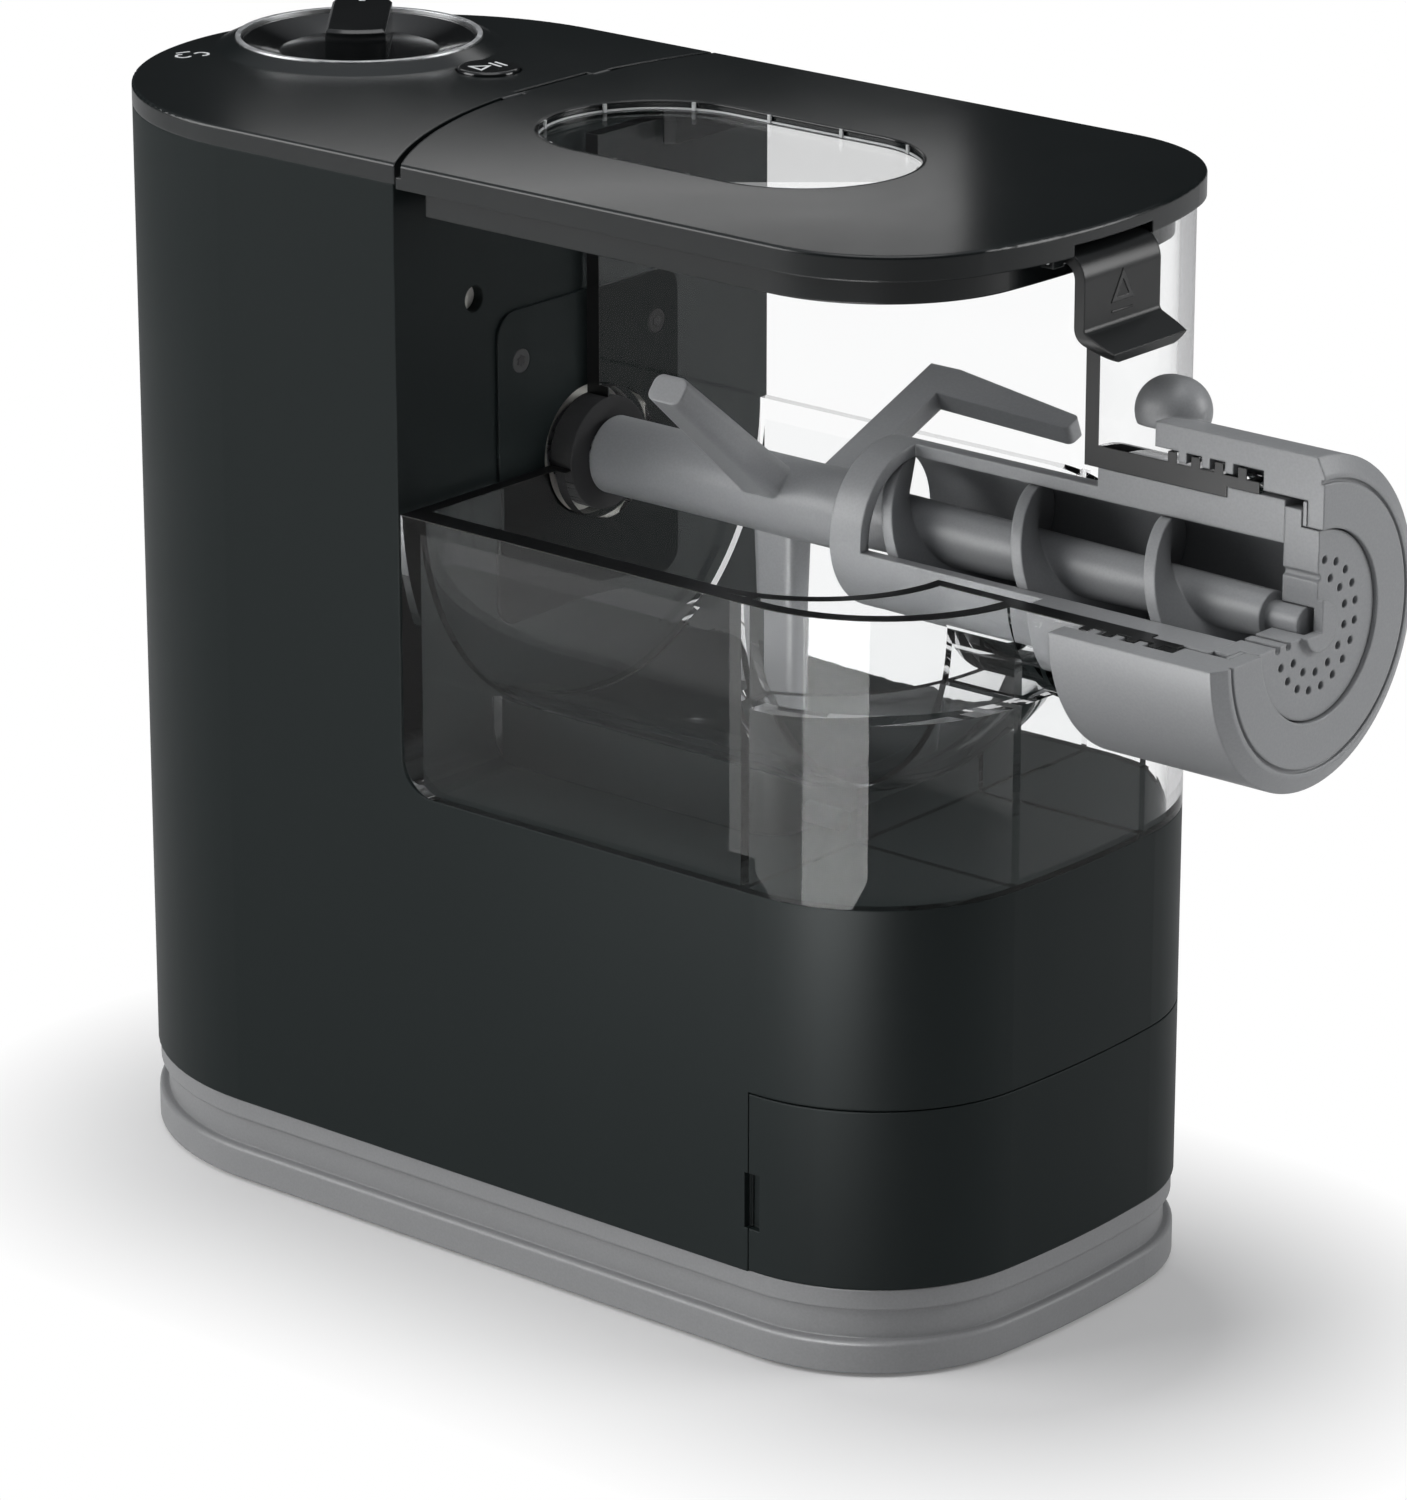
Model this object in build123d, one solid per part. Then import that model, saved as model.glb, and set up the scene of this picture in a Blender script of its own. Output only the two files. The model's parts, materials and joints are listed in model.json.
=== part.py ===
from build123d import *
import math
import os

# Electric pasta maker, with the near upper quarter of its clear chamber and nozzle cut away.
# Millimetres. +X points to the nozzle, +Y is to the right of a user at the nozzle, +Z is up.
# Z is 0 on the standing surface. The saved parts are moved so that X is 0 mid-length.

# ------------------------------------------------------------------ housing
BODY_WIDTH = 135.0
REAR_CENTRE_X = -71.0
FRONT_X = 142.5
FRONT_RADIUS = 300.0
CORNER_RADIUS = 44.5
BODY_LOW = 22.0
DECK_HEIGHT = 94.8
TOWER_X = -13.5
WALL = 3.0
NOTCH_RADIUS = 9.0
SEAM = 0.4
HALF_WIDTH = BODY_WIDTH / 2
REAR_X = REAR_CENTRE_X - HALF_WIDTH
RUNNING_FIT = 0.05
PART_GAP = 0.4

# ------------------------------------------------------------------ trough and drive axis
CHAMBER_WALL = 3.8
TROUGH_SIDE_GAP = 2.7
TROUGH_WALL = 3.0
DECK_GAP = 7.2
HEADROOM = 23.0
DOME_SETBACK = 62.5
TROUGH_RADIUS = HALF_WIDTH - CHAMBER_WALL - TROUGH_SIDE_GAP
DECK_Z = BODY_LOW + DECK_HEIGHT
AXIS_Z = DECK_Z + DECK_GAP + TROUGH_WALL + TROUGH_RADIUS
TOP_Z = AXIS_Z + TROUGH_RADIUS + HEADROOM
DOME_X = FRONT_X - DOME_SETBACK

# ------------------------------------------------------------------ base
PLINTH_LOW = 1.0
PLINTH_FOOT_HEIGHT = 8.0
PLINTH_BAND_HEIGHT = 5.0
PLINTH_WAIST = 2.4
PLINTH_BAND_INSET = 0.6
PLINTH_WALL = 7.0
PLINTH_LIP = 7.0
PLINTH_ROUND = 1.2
PLATE_LOW = 3.0
PLATE_THICKNESS = 3.0
PLATE_TOP = PLATE_LOW + PLATE_THICKNESS
LIP_TOP = PLINTH_LOW + PLINTH_FOOT_HEIGHT
FOOT_RADIUS = 9.0
FOOT_ROUND = 0.8
FOOT_REAR_X = -90.0
FOOT_FRONT_X = 96.0
FOOT_Y = 36.0
BASE_SCREW_RADIUS = 1.6
SCREW_HEAD_RADIUS = 3.0
SCREW_HEAD_HEIGHT = 1.2
BASE_SCREW_X = [-60.0, 20.0, 84.0]
VENT_LENGTH = 46.0
VENT_WIDTH = 3.0
VENT_PITCH = 8.0
VENT_COUNT = 7
VENT_X = -60.0

# ------------------------------------------------------------------ cradle under the chamber
CRADLE_HALF_WIDTH = 35.0
CRADLE_SETBACK = 4.0
CRADLE_GAP = 1.0
CRADLE_ROUND = 8.0
CRADLE_PIN_RADIUS = 2.6
CRADLE_PIN_LENGTH = 11.0
CRADLE_PIN_Y = -24.0
CRADLE_PIN_HEIGHT = 4.4
CRADLE_RADIUS = TROUGH_RADIUS + TROUGH_WALL + CRADLE_GAP
CRADLE_FRONT_X = DOME_X - CRADLE_SETBACK

# ------------------------------------------------------------------ top covers
COVER_DEPTH = 5.0
COVER_PLATE = 2.6
COVER_WALL = 2.6
EDGE_ROUND = 0.8
SEAM_ARC_RADIUS = 148.0
SEAM_OVERRUN = 2.5
SEAM_GAP = 1.6
CONTROL_Y = 17.0
DIAL_SETBACK = 35.5
BUTTON_SPACING = 43.5
COVER_LOW = TOP_Z - COVER_DEPTH
DIAL_X = REAR_X + DIAL_SETBACK
BUTTON_X = DIAL_X + BUTTON_SPACING
SEAM_SAG = SEAM_ARC_RADIUS - math.sqrt(SEAM_ARC_RADIUS ** 2 - (HALF_WIDTH + CONTROL_Y) ** 2)
SEAM_APEX_X = TOWER_X + SEAM_OVERRUN - SEAM_SAG
SEAM_CENTRE_X = SEAM_APEX_X + SEAM_ARC_RADIUS

# ------------------------------------------------------------------ dial and button
DIAL_RADIUS = 29.2
DIAL_RIM_HEIGHT = 1.6
DIAL_DISH_DEPTH = 3.0
DIAL_DISH_RADIUS = 20.0
DIAL_CLEARANCE = 0.8
DIAL_RIM_WIDTH = 0.9
RING_WIDTH = 1.3
RING_SEAT = 1.2
RING_HEIGHT = 1.4
COLLAR_HEIGHT = 2.2
COLLAR_FLARE = 4.6
COLLAR_LAND = 0.5
GRIP_LENGTH = 37.0
GRIP_WIDTH = 15.0
GRIP_HEIGHT = 7.5
GRIP_ANGLE = 130.0
GRIP_CHAMFER = 0.8
DIAL_SHAFT_RADIUS = 3.0
BUTTON_RADIUS = 7.8
BUTTON_RISE = 0.9
BUTTON_FLANGE = 1.4
BUTTON_FLANGE_THICKNESS = 1.0
BUTTON_STEM_RADIUS = 3.0
BUTTON_TRAVEL = 1.2
RING_INNER = DIAL_RADIUS + PART_GAP
RING_OUTER = RING_INNER + RING_WIDTH
BUTTON_TOP = TOP_Z + BUTTON_RISE
BUTTON_HOLE = BUTTON_RADIUS + PART_GAP
FLANGE_TOP = TOP_Z - COVER_PLATE - PART_GAP
FLANGE_LOW = FLANGE_TOP - BUTTON_FLANGE_THICKNESS

# ------------------------------------------------------------------ control board
BOARD_DROP = 14.0
BOARD_THICKNESS = 1.6
BOARD_REAR_REACH = 12.0
BOARD_GEAR_GAP = 2.5
BOARD_NEAR_Y = -12.0
BOARD_FAR_Y = 44.0
BOARD_POST_RADIUS = 2.5
BOARD_POST_INSET = 5.0
SELECTOR_SIZE = 16.0
SELECTOR_HEIGHT = 8.0
SWITCH_SIZE = 8.0
SWITCH_HEIGHT = 4.0
LID_SWITCH_Y = 30.0
LID_SWITCH_INSET = 5.5
LID_SWITCH_HEIGHT = 9.0
BODY_CEILING = COVER_LOW - WALL
BOARD_TOP = BODY_CEILING - BOARD_DROP
BOARD_REAR_X = DIAL_X - BOARD_REAR_REACH

# ------------------------------------------------------------------ lid
LID_OVERHANG = 4.0
LID_FRONT_RADIUS = 126.0
LID_CORNER_RADIUS = 40.0
LID_PLATE = 3.2
LID_BAND_DEPTH = 6.0
LID_BAND_WALL = 3.0
LID_TOWER_GAP = 0.9
WINDOW_REAR_X = -17.5
WINDOW_FRONT_X = 85.0
WINDOW_HALF_WIDTH = 29.0
WINDOW_Y = -2.0
WINDOW_THICKNESS = 2.0
WINDOW_DEPTH = 2.2
RIM_DEPTH = 13.0
RIM_WALL = 2.6
RIM_REAR_GAP = 0.9
RIM_CLEARANCE = 1.2
LID_LOW = TOP_Z - LID_PLATE
LID_FRONT_X = FRONT_X + LID_OVERHANG

# ------------------------------------------------------------------ lid hinge
KNUCKLE_RADIUS = 1.5
KNUCKLE_HALF = 13.0
EAR_LENGTH = 6.0
HINGE_GAP = 0.45
HINGE_PIN_RADIUS = 0.75
PRESS_FIT = 0.02
EAR_ROOT = 3.4
EAR_RELIEF = 3.6
HINGE_X = SEAM_APEX_X
HINGE_Z = TOP_Z - KNUCKLE_RADIUS

# ------------------------------------------------------------------ lid latch
LATCH_HALF_WIDTH = 14.3
LATCH_THICKNESS = 2.8
LATCH_STANDOFF = 3.1
LATCH_PIVOT_SETBACK = 1.5
LATCH_KNUCKLE_RADIUS = 1.9
LATCH_PIN_RADIUS = 0.9
LATCH_TOP_GAP = 1.6
LATCH_BEND = 5.4
LATCH_DROP = 18.0
LATCH_LIP_REACH = 9.0
LATCH_LIP_DROP = 4.0
LATCH_LIP_BEND = 3.0
LATCH_CORNER = 5.0
LATCH_EAR = 4.0
LATCH_EAR_HALF = 1.8
LATCH_PIVOT_X = FRONT_X - LATCH_PIVOT_SETBACK
LATCH_PIVOT_Z = LID_LOW - LATCH_TOP_GAP - LATCH_KNUCKLE_RADIUS
LATCH_X = FRONT_X + LATCH_STANDOFF + LATCH_THICKNESS / 2
LATCH_EAR_Y = LATCH_HALF_WIDTH + PART_GAP

# ------------------------------------------------------------------ tower plate
TOWER_PLATE = 0.8
TOWER_PLATE_HALF = 32.3
TOWER_PLATE_RISE = 40.0
TOWER_PLATE_DROP = 38.0
TOWER_PLATE_ROUND = 6.0
TOWER_SCREW_Y = 24.2
TOWER_SCREW_RISE = 27.1
TOWER_SCREW_RADIUS = 1.6
TOWER_HOLE_RADIUS = 3.2
TOWER_HOLE_Y = -39.9
TOWER_HOLE_RISE = 45.6
DRIVE_HOLE = 16.0

# ------------------------------------------------------------------ mixing chamber
CHAMBER_LID_GAP = 0.6
CUT_DROP = 1.6
COLLAR_BORE = 25.0
RIB = 2.5
RIB_SETBACK = 49.7
RIB_SPACING = 48.0
LEDGE_DROP = 25.0
LEDGE_THICKNESS = 2.5
LATCH_NOTCH_DEPTH = 5.0
SEAL_RADIUS = 14.0
BOSS_WALL = 2.5
BOSS_LENGTH = 3.0
COLLAR_LENGTH = 45.3
COLLAR_STEP_LENGTH = 9.0
COLLAR_STEP = 2.5
THREAD_ROOT = 30.2
THREAD_DEPTH = 2.5
THREAD_PITCH = 6.5
THREAD_COUNT = 4
THREAD_LAND = 2.4
THREAD_FRONT = 3.6
THREAD_GAP = 0.4
RIB_X = FRONT_X - RIB_SETBACK
CHAMBER_REAR_X = TOWER_X + TOWER_PLATE
CHAMBER_INNER_X = CHAMBER_REAR_X + CHAMBER_WALL
CHAMBER_TOP = TOP_Z - LID_BAND_DEPTH - CHAMBER_LID_GAP
RIM_REAR_X = CHAMBER_INNER_X + RIM_REAR_GAP
CUT_Z = AXIS_Z - CUT_DROP
COLLAR_FRONT_X = FRONT_X + COLLAR_LENGTH
COLLAR_STEP_X = COLLAR_FRONT_X - COLLAR_STEP_LENGTH
LAST_TOOTH_X = COLLAR_FRONT_X - THREAD_FRONT - THREAD_LAND

# ------------------------------------------------------------------ nozzle
TUBE_BORE = 17.3
TUBE_THIN_WALL = 3.1
TUBE_FIT = 0.1
TUBE_LIP_LENGTH = 16.0
DISC_THICKNESS = 4.6
DISC_NOSE = 5.0
DISC_RADIUS = 26.0
DISC_BOSS_RADIUS = 6.0
DISC_BOSS_LENGTH = 1.6
DISC_WEB = 0.8
NOODLE_HOLE = 1.0
NOODLE_CIRCLES = [11.0, 15.0]
NOODLE_COUNTS = [14, 20]
RING_RADIUS = 39.0
RING_REACH = 29.3
LIP_THICKNESS = 4.3
RING_EDGE = 4.0
RING_CAVITY = 28.5
MOUTH_MARGIN = 2.0
RING_FACE_GROOVE = 33.0
GROOVE_WIDTH = 0.9
GROOVE_DEPTH = 0.8
RING_TRAVEL = 1.1
WASHER_THICKNESS = 1.0
WASHER_GAP = 0.3
LUG_ANGLE = 70.0
LUG_RADIUS = 8.2
LUG_CENTRE = 40.0
LUG_SETBACK = 6.0
LUG_LENGTH = 2.0
LUG_FLOOR = 35.5
TUBE_REAR_X = DOME_X
TUBE_FRONT_X = COLLAR_STEP_X + TUBE_LIP_LENGTH
DISC_FRONT_X = TUBE_FRONT_X + DISC_THICKNESS
NOSE_X = DISC_FRONT_X + DISC_NOSE
BOSS_X = NOSE_X + DISC_BOSS_LENGTH
RING_MOUTH = TUBE_BORE + TUBE_THIN_WALL + MOUTH_MARGIN
NOSE_RADIUS = RING_MOUTH - PART_GAP
WASHER_X = DISC_FRONT_X + PART_GAP
LIP_X = WASHER_X + WASHER_THICKNESS + WASHER_GAP
RING_FRONT_X = LIP_X + LIP_THICKNESS
RING_REAR_X = COLLAR_FRONT_X - RING_REACH
TOOTH_ROOT = THREAD_ROOT + THREAD_DEPTH + THREAD_GAP
TOOTH_CREST = THREAD_ROOT + THREAD_GAP
RING_TOOTH = THREAD_PITCH - THREAD_LAND - 2 * THREAD_GAP - RING_TRAVEL

# ------------------------------------------------------------------ auger and paddle
AUGER_REAR_REACH = 8.0
AUGER_CORE_REAR = 7.6
AUGER_CORE_FRONT = 5.6
AUGER_NUB_RADIUS = 3.6
AUGER_TIP_GAP = 2.2
NUB_END_GAP = 2.0
FLIGHT_CLEARANCE = 0.5
FLIGHT_PITCH = 38.0
FLIGHT_ANGLE = 30.0
FLIGHT_SETBACK = 6.0
FLIGHT_END_GAP = 7.0
HUB_SETBACK = 5.0
HUB_RADIUS = 9.6
ARM_GAP = 6.0
ARM_SETBACK = 5.0
ARM_ROOT = (13.0, 9.0)
ARM_TIP = (10.0, 7.0)
ARM_ROUND = 2.4
ARM_ANGLES = [140.0, 270.0]
WIPER_ANGLE = 21.7
WIPER_SETBACK = 18.0
WIPER_SHOULDER = 9.0
WIPER_REACH = 24.0
WIPER_DEPTH = 10.0
WIPER_TIP_DEPTH = 5.0
WIPER_TIP_DROP = 7.0
WIPER_THICKNESS = 5.0
WIPER_ROUND = 1.6
FLIGHT_RADIUS = TUBE_BORE - FLIGHT_CLEARANCE
AUGER_REAR_X = TUBE_REAR_X - AUGER_REAR_REACH
FLIGHT_START_X = TUBE_REAR_X + FLIGHT_SETBACK
WIPER_REAR_X = AUGER_REAR_X - WIPER_SETBACK
WIPER_FRONT_X = DOME_X + WIPER_REACH
ARM_X = WIPER_REAR_X - ARM_SETBACK
AUGER_TIP_X = TUBE_FRONT_X - AUGER_TIP_GAP
NUB_END_X = NOSE_X - DISC_WEB - NUB_END_GAP
ARM_REACH = TROUGH_RADIUS - ARM_GAP
HUB_REAR_X = CHAMBER_INNER_X + HUB_SETBACK

# ------------------------------------------------------------------ drive
COUPLING_RADIUS = 7.4
COUPLING_INSERT = 16.0
COUPLING_FLAT = 11.0
SHAFT_RADIUS = 5.0
GEAR_MODULE = 1.5
OUTPUT_TEETH = 60
SMALL_TEETH = 15
LARGE_TEETH = 45
MOTOR_TEETH = 12
ADDENDUM = 1.0
DEDENDUM = 1.25
TOOTH_TIP_HALF = 0.33
TOOTH_ROOT_HALF = 0.9
OUTPUT_WIDTH = 10.0
LARGE_WIDTH = 8.0
GEAR_SPACE = 4.0
GEAR_HUB = 9.0
GEARBOX_PLATE = 4.0
GEARBOX_GAP = 5.5
GEARBOX_BORDER = 7.0
GEARBOX_MARGIN = 8.0
GEARBOX_ROUND = 12.0
POST_RADIUS = 4.5
POST_Y = 44.0
POST_INSET = 10.0
BEARING_RADIUS = 11.0
IDLER_SHAFT_RADIUS = 3.0
MOTOR_RADIUS = 30.0
MOTOR_LENGTH = 58.0
MOTOR_SHAFT_RADIUS = 2.5
FAN_RADIUS = 24.0
FAN_HUB = 6.0
FAN_GAP = 3.0
FAN_WIDTH = 6.0
FAN_BLADES = 9
OUTPUT_RADIUS = GEAR_MODULE * OUTPUT_TEETH / 2
GEARBOX_HALF = OUTPUT_RADIUS + GEARBOX_BORDER
SMALL_RADIUS = GEAR_MODULE * SMALL_TEETH / 2
LARGE_RADIUS = GEAR_MODULE * LARGE_TEETH / 2
PINION_RADIUS = GEAR_MODULE * MOTOR_TEETH / 2
IDLER_Z = AXIS_Z - OUTPUT_RADIUS - SMALL_RADIUS
MOTOR_Z = IDLER_Z - LARGE_RADIUS - PINION_RADIUS
FRONT_PLATE_X = TOWER_X - WALL
OUTPUT_FRONT_X = FRONT_PLATE_X - GEARBOX_PLATE - GEARBOX_GAP
OUTPUT_REAR_X = OUTPUT_FRONT_X - OUTPUT_WIDTH
LARGE_FRONT_X = OUTPUT_REAR_X - GEAR_SPACE
LARGE_REAR_X = LARGE_FRONT_X - LARGE_WIDTH
REAR_PLATE_X = LARGE_REAR_X - GEAR_SPACE
MOTOR_FRONT_X = REAR_PLATE_X - GEARBOX_PLATE
MOTOR_REAR_X = MOTOR_FRONT_X - MOTOR_LENGTH
FAN_REAR_X = MOTOR_REAR_X - FAN_GAP - FAN_WIDTH
BOARD_FRONT_X = OUTPUT_REAR_X - BOARD_GEAR_GAP
LID_SWITCH_X = BOARD_FRONT_X - LID_SWITCH_INSET

# ------------------------------------------------------------------ drawer
DRAWER_DEPTH = 47.6
DRAWER_HEIGHT = 45.0
FINGER_LOW = 11.0
FINGER_HEIGHT = 14.0
FINGER_WIDTH = 3.6
FINGER_DEPTH = 2.0
TRAY_REAR_X = 6.0
TRAY_SIDE_GAP = 1.0
TRAY_LIFT = 2.5
TRAY_HEIGHT = 35.5
TRAY_WALL = 2.4
RUNNER_HEIGHT = 16.0
RUNNER_DEPTH = 4.0
RUNNER_REACH = 6.0
RUNNER_REAR_X = -6.0
RAIL_REACH = 4.0
RAIL_DEPTH = 2.4
RAIL_SETBACK = 4.9
SPARE_RADIUS = 20.0
SPARE_THICKNESS = 6.0
SPARE_X = 40.0
SPARE_Y = 26.0
DRAWER_X = FRONT_X - DRAWER_DEPTH
RAIL_LENGTH = DRAWER_X - TRAY_REAR_X - RAIL_SETBACK
DRAWER_TOP = BODY_LOW + DRAWER_HEIGHT
TRAY_LOW = BODY_LOW + TRAY_LIFT
TRAY_FLOOR = TRAY_LOW + TRAY_WALL
TRAY_HALF_WIDTH = HALF_WIDTH - WALL - RUNNER_REACH - TRAY_SIDE_GAP

# ------------------------------------------------------------------ power
INLET_RISE = 19.0
INLET_WIDTH = 28.0
INLET_HEIGHT = 20.0
INLET_DEPTH = 22.0
INLET_RECESS = 1.5
INLET_WALL = 2.5
SOCKET_DEPTH = 16.0
PRONG_LENGTH = 8.0
PRONG_WIDTH = 4.0
PRONG_THICKNESS = 2.0
PRONG_SPACING = 7.0
PRONG_RISE = 2.5
SUPPLY_SETBACK = 4.0
SUPPLY_LENGTH = 48.0
SUPPLY_HALF = 40.0
SUPPLY_HEIGHT = 20.0
SUPPLY_POST_RADIUS = 3.0
SUPPLY_POST_INSET = 6.0
COIL_SIZE = (24.0, 30.0, 20.0)
CAPACITOR_RADIUS = 8.0
CAPACITOR_HEIGHT = 22.0
CAPACITOR_INSET = 12.0
INLET_Z = BODY_LOW + INLET_RISE
SUPPLY_Z = PLATE_TOP + SUPPLY_HEIGHT
SUPPLY_REAR_X = REAR_PLATE_X + SUPPLY_SETBACK
SUPPLY_FRONT_X = SUPPLY_REAR_X + SUPPLY_LENGTH

ORIGIN_X = (REAR_X + BOSS_X) / 2
FAR = 500.0
OVER = 1.0


# ------------------------------------------------------------------ helpers
def block(x0, x1, y0, y1, z0, z1):
    """Box from its low and high corners."""
    middle = Pos((x0 + x1) / 2, (y0 + y1) / 2, (z0 + z1) / 2)
    return middle * Box(x1 - x0, y1 - y0, z1 - z0)


def rod_x(radius, x0, x1, y=0.0, z=AXIS_Z):
    """Round bar along X."""
    upright = Cylinder(radius, x1 - x0, align=(Align.CENTER, Align.CENTER, Align.MIN))
    return Pos(x0, y, z) * Rot(0, 90, 0) * upright


def rod_y(radius, x, y0, y1, z):
    """Round bar along Y."""
    upright = Cylinder(radius, y1 - y0, align=(Align.CENTER, Align.CENTER, Align.MIN))
    return Pos(x, y0, z) * Rot(-90, 0, 0) * upright


def rod_z(radius, x, y, z0, z1):
    """Round bar along Z."""
    upright = Cylinder(radius, z1 - z0, align=(Align.CENTER, Align.CENTER, Align.MIN))
    return Pos(x, y, z0) * upright


def turned(corners):
    """Solid turned about the drive axis from (x, radius) corners."""
    edge = Polyline(*[(x, 0, AXIS_Z + radius) for x, radius in corners], close=True)
    return revolve(make_face(edge), Axis((0, 0, AXIS_Z), (1, 0, 0)))


def turned_upright(corners, x, y):
    """Solid turned about a vertical axis from (radius, z) corners."""
    edge = Polyline(*[(x + radius, y, z) for radius, z in corners], close=True)
    return revolve(make_face(edge), Axis((x, y, 0), (0, 0, 1)))


def outline(inset, front_x, front_radius, corner_radius):
    """Seen from above: half-round rear, straight sides, round corners, bowed front."""
    half = HALF_WIDTH - inset
    corner = corner_radius - inset
    front = front_radius - inset
    bow_x = front_x - front_radius
    corner_y = HALF_WIDTH - corner_radius
    corner_x = bow_x + math.sqrt((front_radius - corner_radius) ** 2 - corner_y ** 2)
    swing = math.atan2(corner_y, corner_x - bow_x)
    knee = (swing + math.pi / 2) / 2
    meet = (bow_x + front * math.cos(swing), front * math.sin(swing))
    bend = (corner_x + corner * math.cos(knee), corner_y + corner * math.sin(knee))
    edges = [
        Line((REAR_CENTRE_X, half), (corner_x, half)),
        ThreePointArc((corner_x, half), bend, meet),
        ThreePointArc(meet, (front_x - inset, 0), (meet[0], -meet[1])),
        ThreePointArc((meet[0], -meet[1]), (bend[0], -bend[1]), (corner_x, -half)),
        Line((corner_x, -half), (REAR_CENTRE_X, -half)),
        ThreePointArc((REAR_CENTRE_X, -half), (REAR_CENTRE_X - half, 0), (REAR_CENTRE_X, half)),
    ]
    return make_face(edges)


def slab(inset, low, high):
    """Body outline, moved in by inset, between two heights."""
    face = outline(inset, FRONT_X, FRONT_RADIUS, CORNER_RADIUS)
    return extrude(Pos(0, 0, low) * face, high - low, dir=(0, 0, 1))


def lid_slab(inset, low, high):
    """Lid outline, which stands proud of the body at the front."""
    face = outline(inset, LID_FRONT_X, LID_FRONT_RADIUS, LID_CORNER_RADIUS)
    return extrude(Pos(0, 0, low) * face, high - low, dir=(0, 0, 1))


def round_top(shape, radius):
    """Rounds the edges of a piece's flat top."""
    return fillet(shape.edges().group_by(Axis.Z)[-1], radius)


def recess(low_x, low_z, high_z, radius):
    """Space in front of a plane and over another, with a round corner between them."""
    space = block(low_x, FAR, -FAR, FAR, low_z, high_z)
    corner = space.edges().filter_by(Axis.Y).sort_by(lambda edge: edge.center().X + edge.center().Z)[0]
    return fillet(corner, radius)


def near_quarter():
    """Space that the cutaway takes from the chamber and the nozzle."""
    return block(TOWER_X, FAR, -FAR, 0, CUT_Z, FAR)


def seam_disc(radius, low, high):
    """Disc whose rim is the curved seam between the lid and the rear cover."""
    return rod_z(radius, SEAM_CENTRE_X, CONTROL_Y, low, high)


def behind_seam(grow, low, high):
    """Space behind the curved seam, moved back by grow."""
    space = block(-FAR, SEAM_CENTRE_X, -FAR, FAR, low, high)
    return space - seam_disc(SEAM_ARC_RADIUS + SEAM_GAP + grow, low - OVER, high + OVER)


def window_slab(grow, low, high):
    """Long round-ended window outline, grown by a margin."""
    length = WINDOW_FRONT_X - WINDOW_REAR_X + 2 * grow
    face = SlotOverall(length, 2 * (WINDOW_HALF_WIDTH + grow))
    middle = Pos((WINDOW_FRONT_X + WINDOW_REAR_X) / 2, WINDOW_Y, low)
    return extrude(middle * face, high - low, dir=(0, 0, 1))


def save(name, *shapes):
    """Writes one part, moved so that X is 0 halfway along the machine."""
    moved = [Pos(-ORIGIN_X, 0, 0) * solid for shape in shapes for solid in shape.solids()]
    whole = moved[0] if len(moved) == 1 else Compound(children=moved)
    export_step(whole, os.path.join("parts", name + ".step"))


# ------------------------------------------------------------------ housing
def cradle(grow, radius, low):
    """Raised bed under the trough, hollowed by the trough's own curve."""
    bed = block(TOWER_X - grow, CRADLE_FRONT_X - grow, -CRADLE_HALF_WIDTH + grow,
                CRADLE_HALF_WIDTH - grow, low, AXIS_Z)
    ends = bed.edges().filter_by(Axis.Z).group_by(Axis.X)[-1]
    bed = fillet(ends, CRADLE_ROUND - grow)
    return bed - rod_x(radius, TOWER_X - WALL - OVER, CRADLE_FRONT_X + OVER)


def body_shell():
    shell = slab(0, BODY_LOW, COVER_LOW) - recess(TOWER_X, DECK_Z, FAR, NOTCH_RADIUS)
    shell += cradle(0, CRADLE_RADIUS, DECK_Z - WALL)
    space = recess(TOWER_X - WALL, DECK_Z - WALL, FAR, NOTCH_RADIUS + WALL)
    shell -= slab(WALL, BODY_LOW - OVER, BODY_CEILING) - space
    shell -= cradle(WALL, CRADLE_RADIUS + WALL, DECK_Z - WALL - OVER)
    pin_z = DECK_Z + CRADLE_PIN_HEIGHT
    pin_end = CRADLE_FRONT_X + CRADLE_PIN_LENGTH
    shell += rod_x(CRADLE_PIN_RADIUS, CRADLE_FRONT_X - WALL, pin_end, CRADLE_PIN_Y, pin_z)
    return shell - drawer_opening() - tower_holes() - top_holes() - inlet_opening() - finger_notches()


def drawer_opening():
    return block(DRAWER_X, FAR, -FAR, FAR, BODY_LOW - OVER, DRAWER_TOP + SEAM)


def tower_holes():
    rear = TOWER_X - WALL - OVER
    holes = rod_x(DRIVE_HOLE, rear, TOWER_X + OVER)
    holes += rod_x(TOWER_HOLE_RADIUS, rear, TOWER_X + OVER, TOWER_HOLE_Y, AXIS_Z + TOWER_HOLE_RISE)
    for side in (-1, 1):
        y = side * TOWER_SCREW_Y
        holes += rod_x(TOWER_SCREW_RADIUS, rear, TOWER_X + OVER, y, AXIS_Z + TOWER_SCREW_RISE)
    return holes


def top_holes():
    low = BODY_CEILING - OVER
    holes = rod_z(DIAL_SHAFT_RADIUS + PART_GAP, DIAL_X, CONTROL_Y, low, COVER_LOW + OVER)
    flange_hole = BUTTON_RADIUS + BUTTON_FLANGE + PART_GAP
    return holes + rod_z(flange_hole, BUTTON_X, CONTROL_Y, low, COVER_LOW + OVER)


def inlet_opening():
    half = INLET_WIDTH / 2
    low = INLET_Z - INLET_HEIGHT / 2
    return block(REAR_X - OVER, REAR_CENTRE_X - HALF_WIDTH / 2, -half, half, low, low + INLET_HEIGHT)


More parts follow.
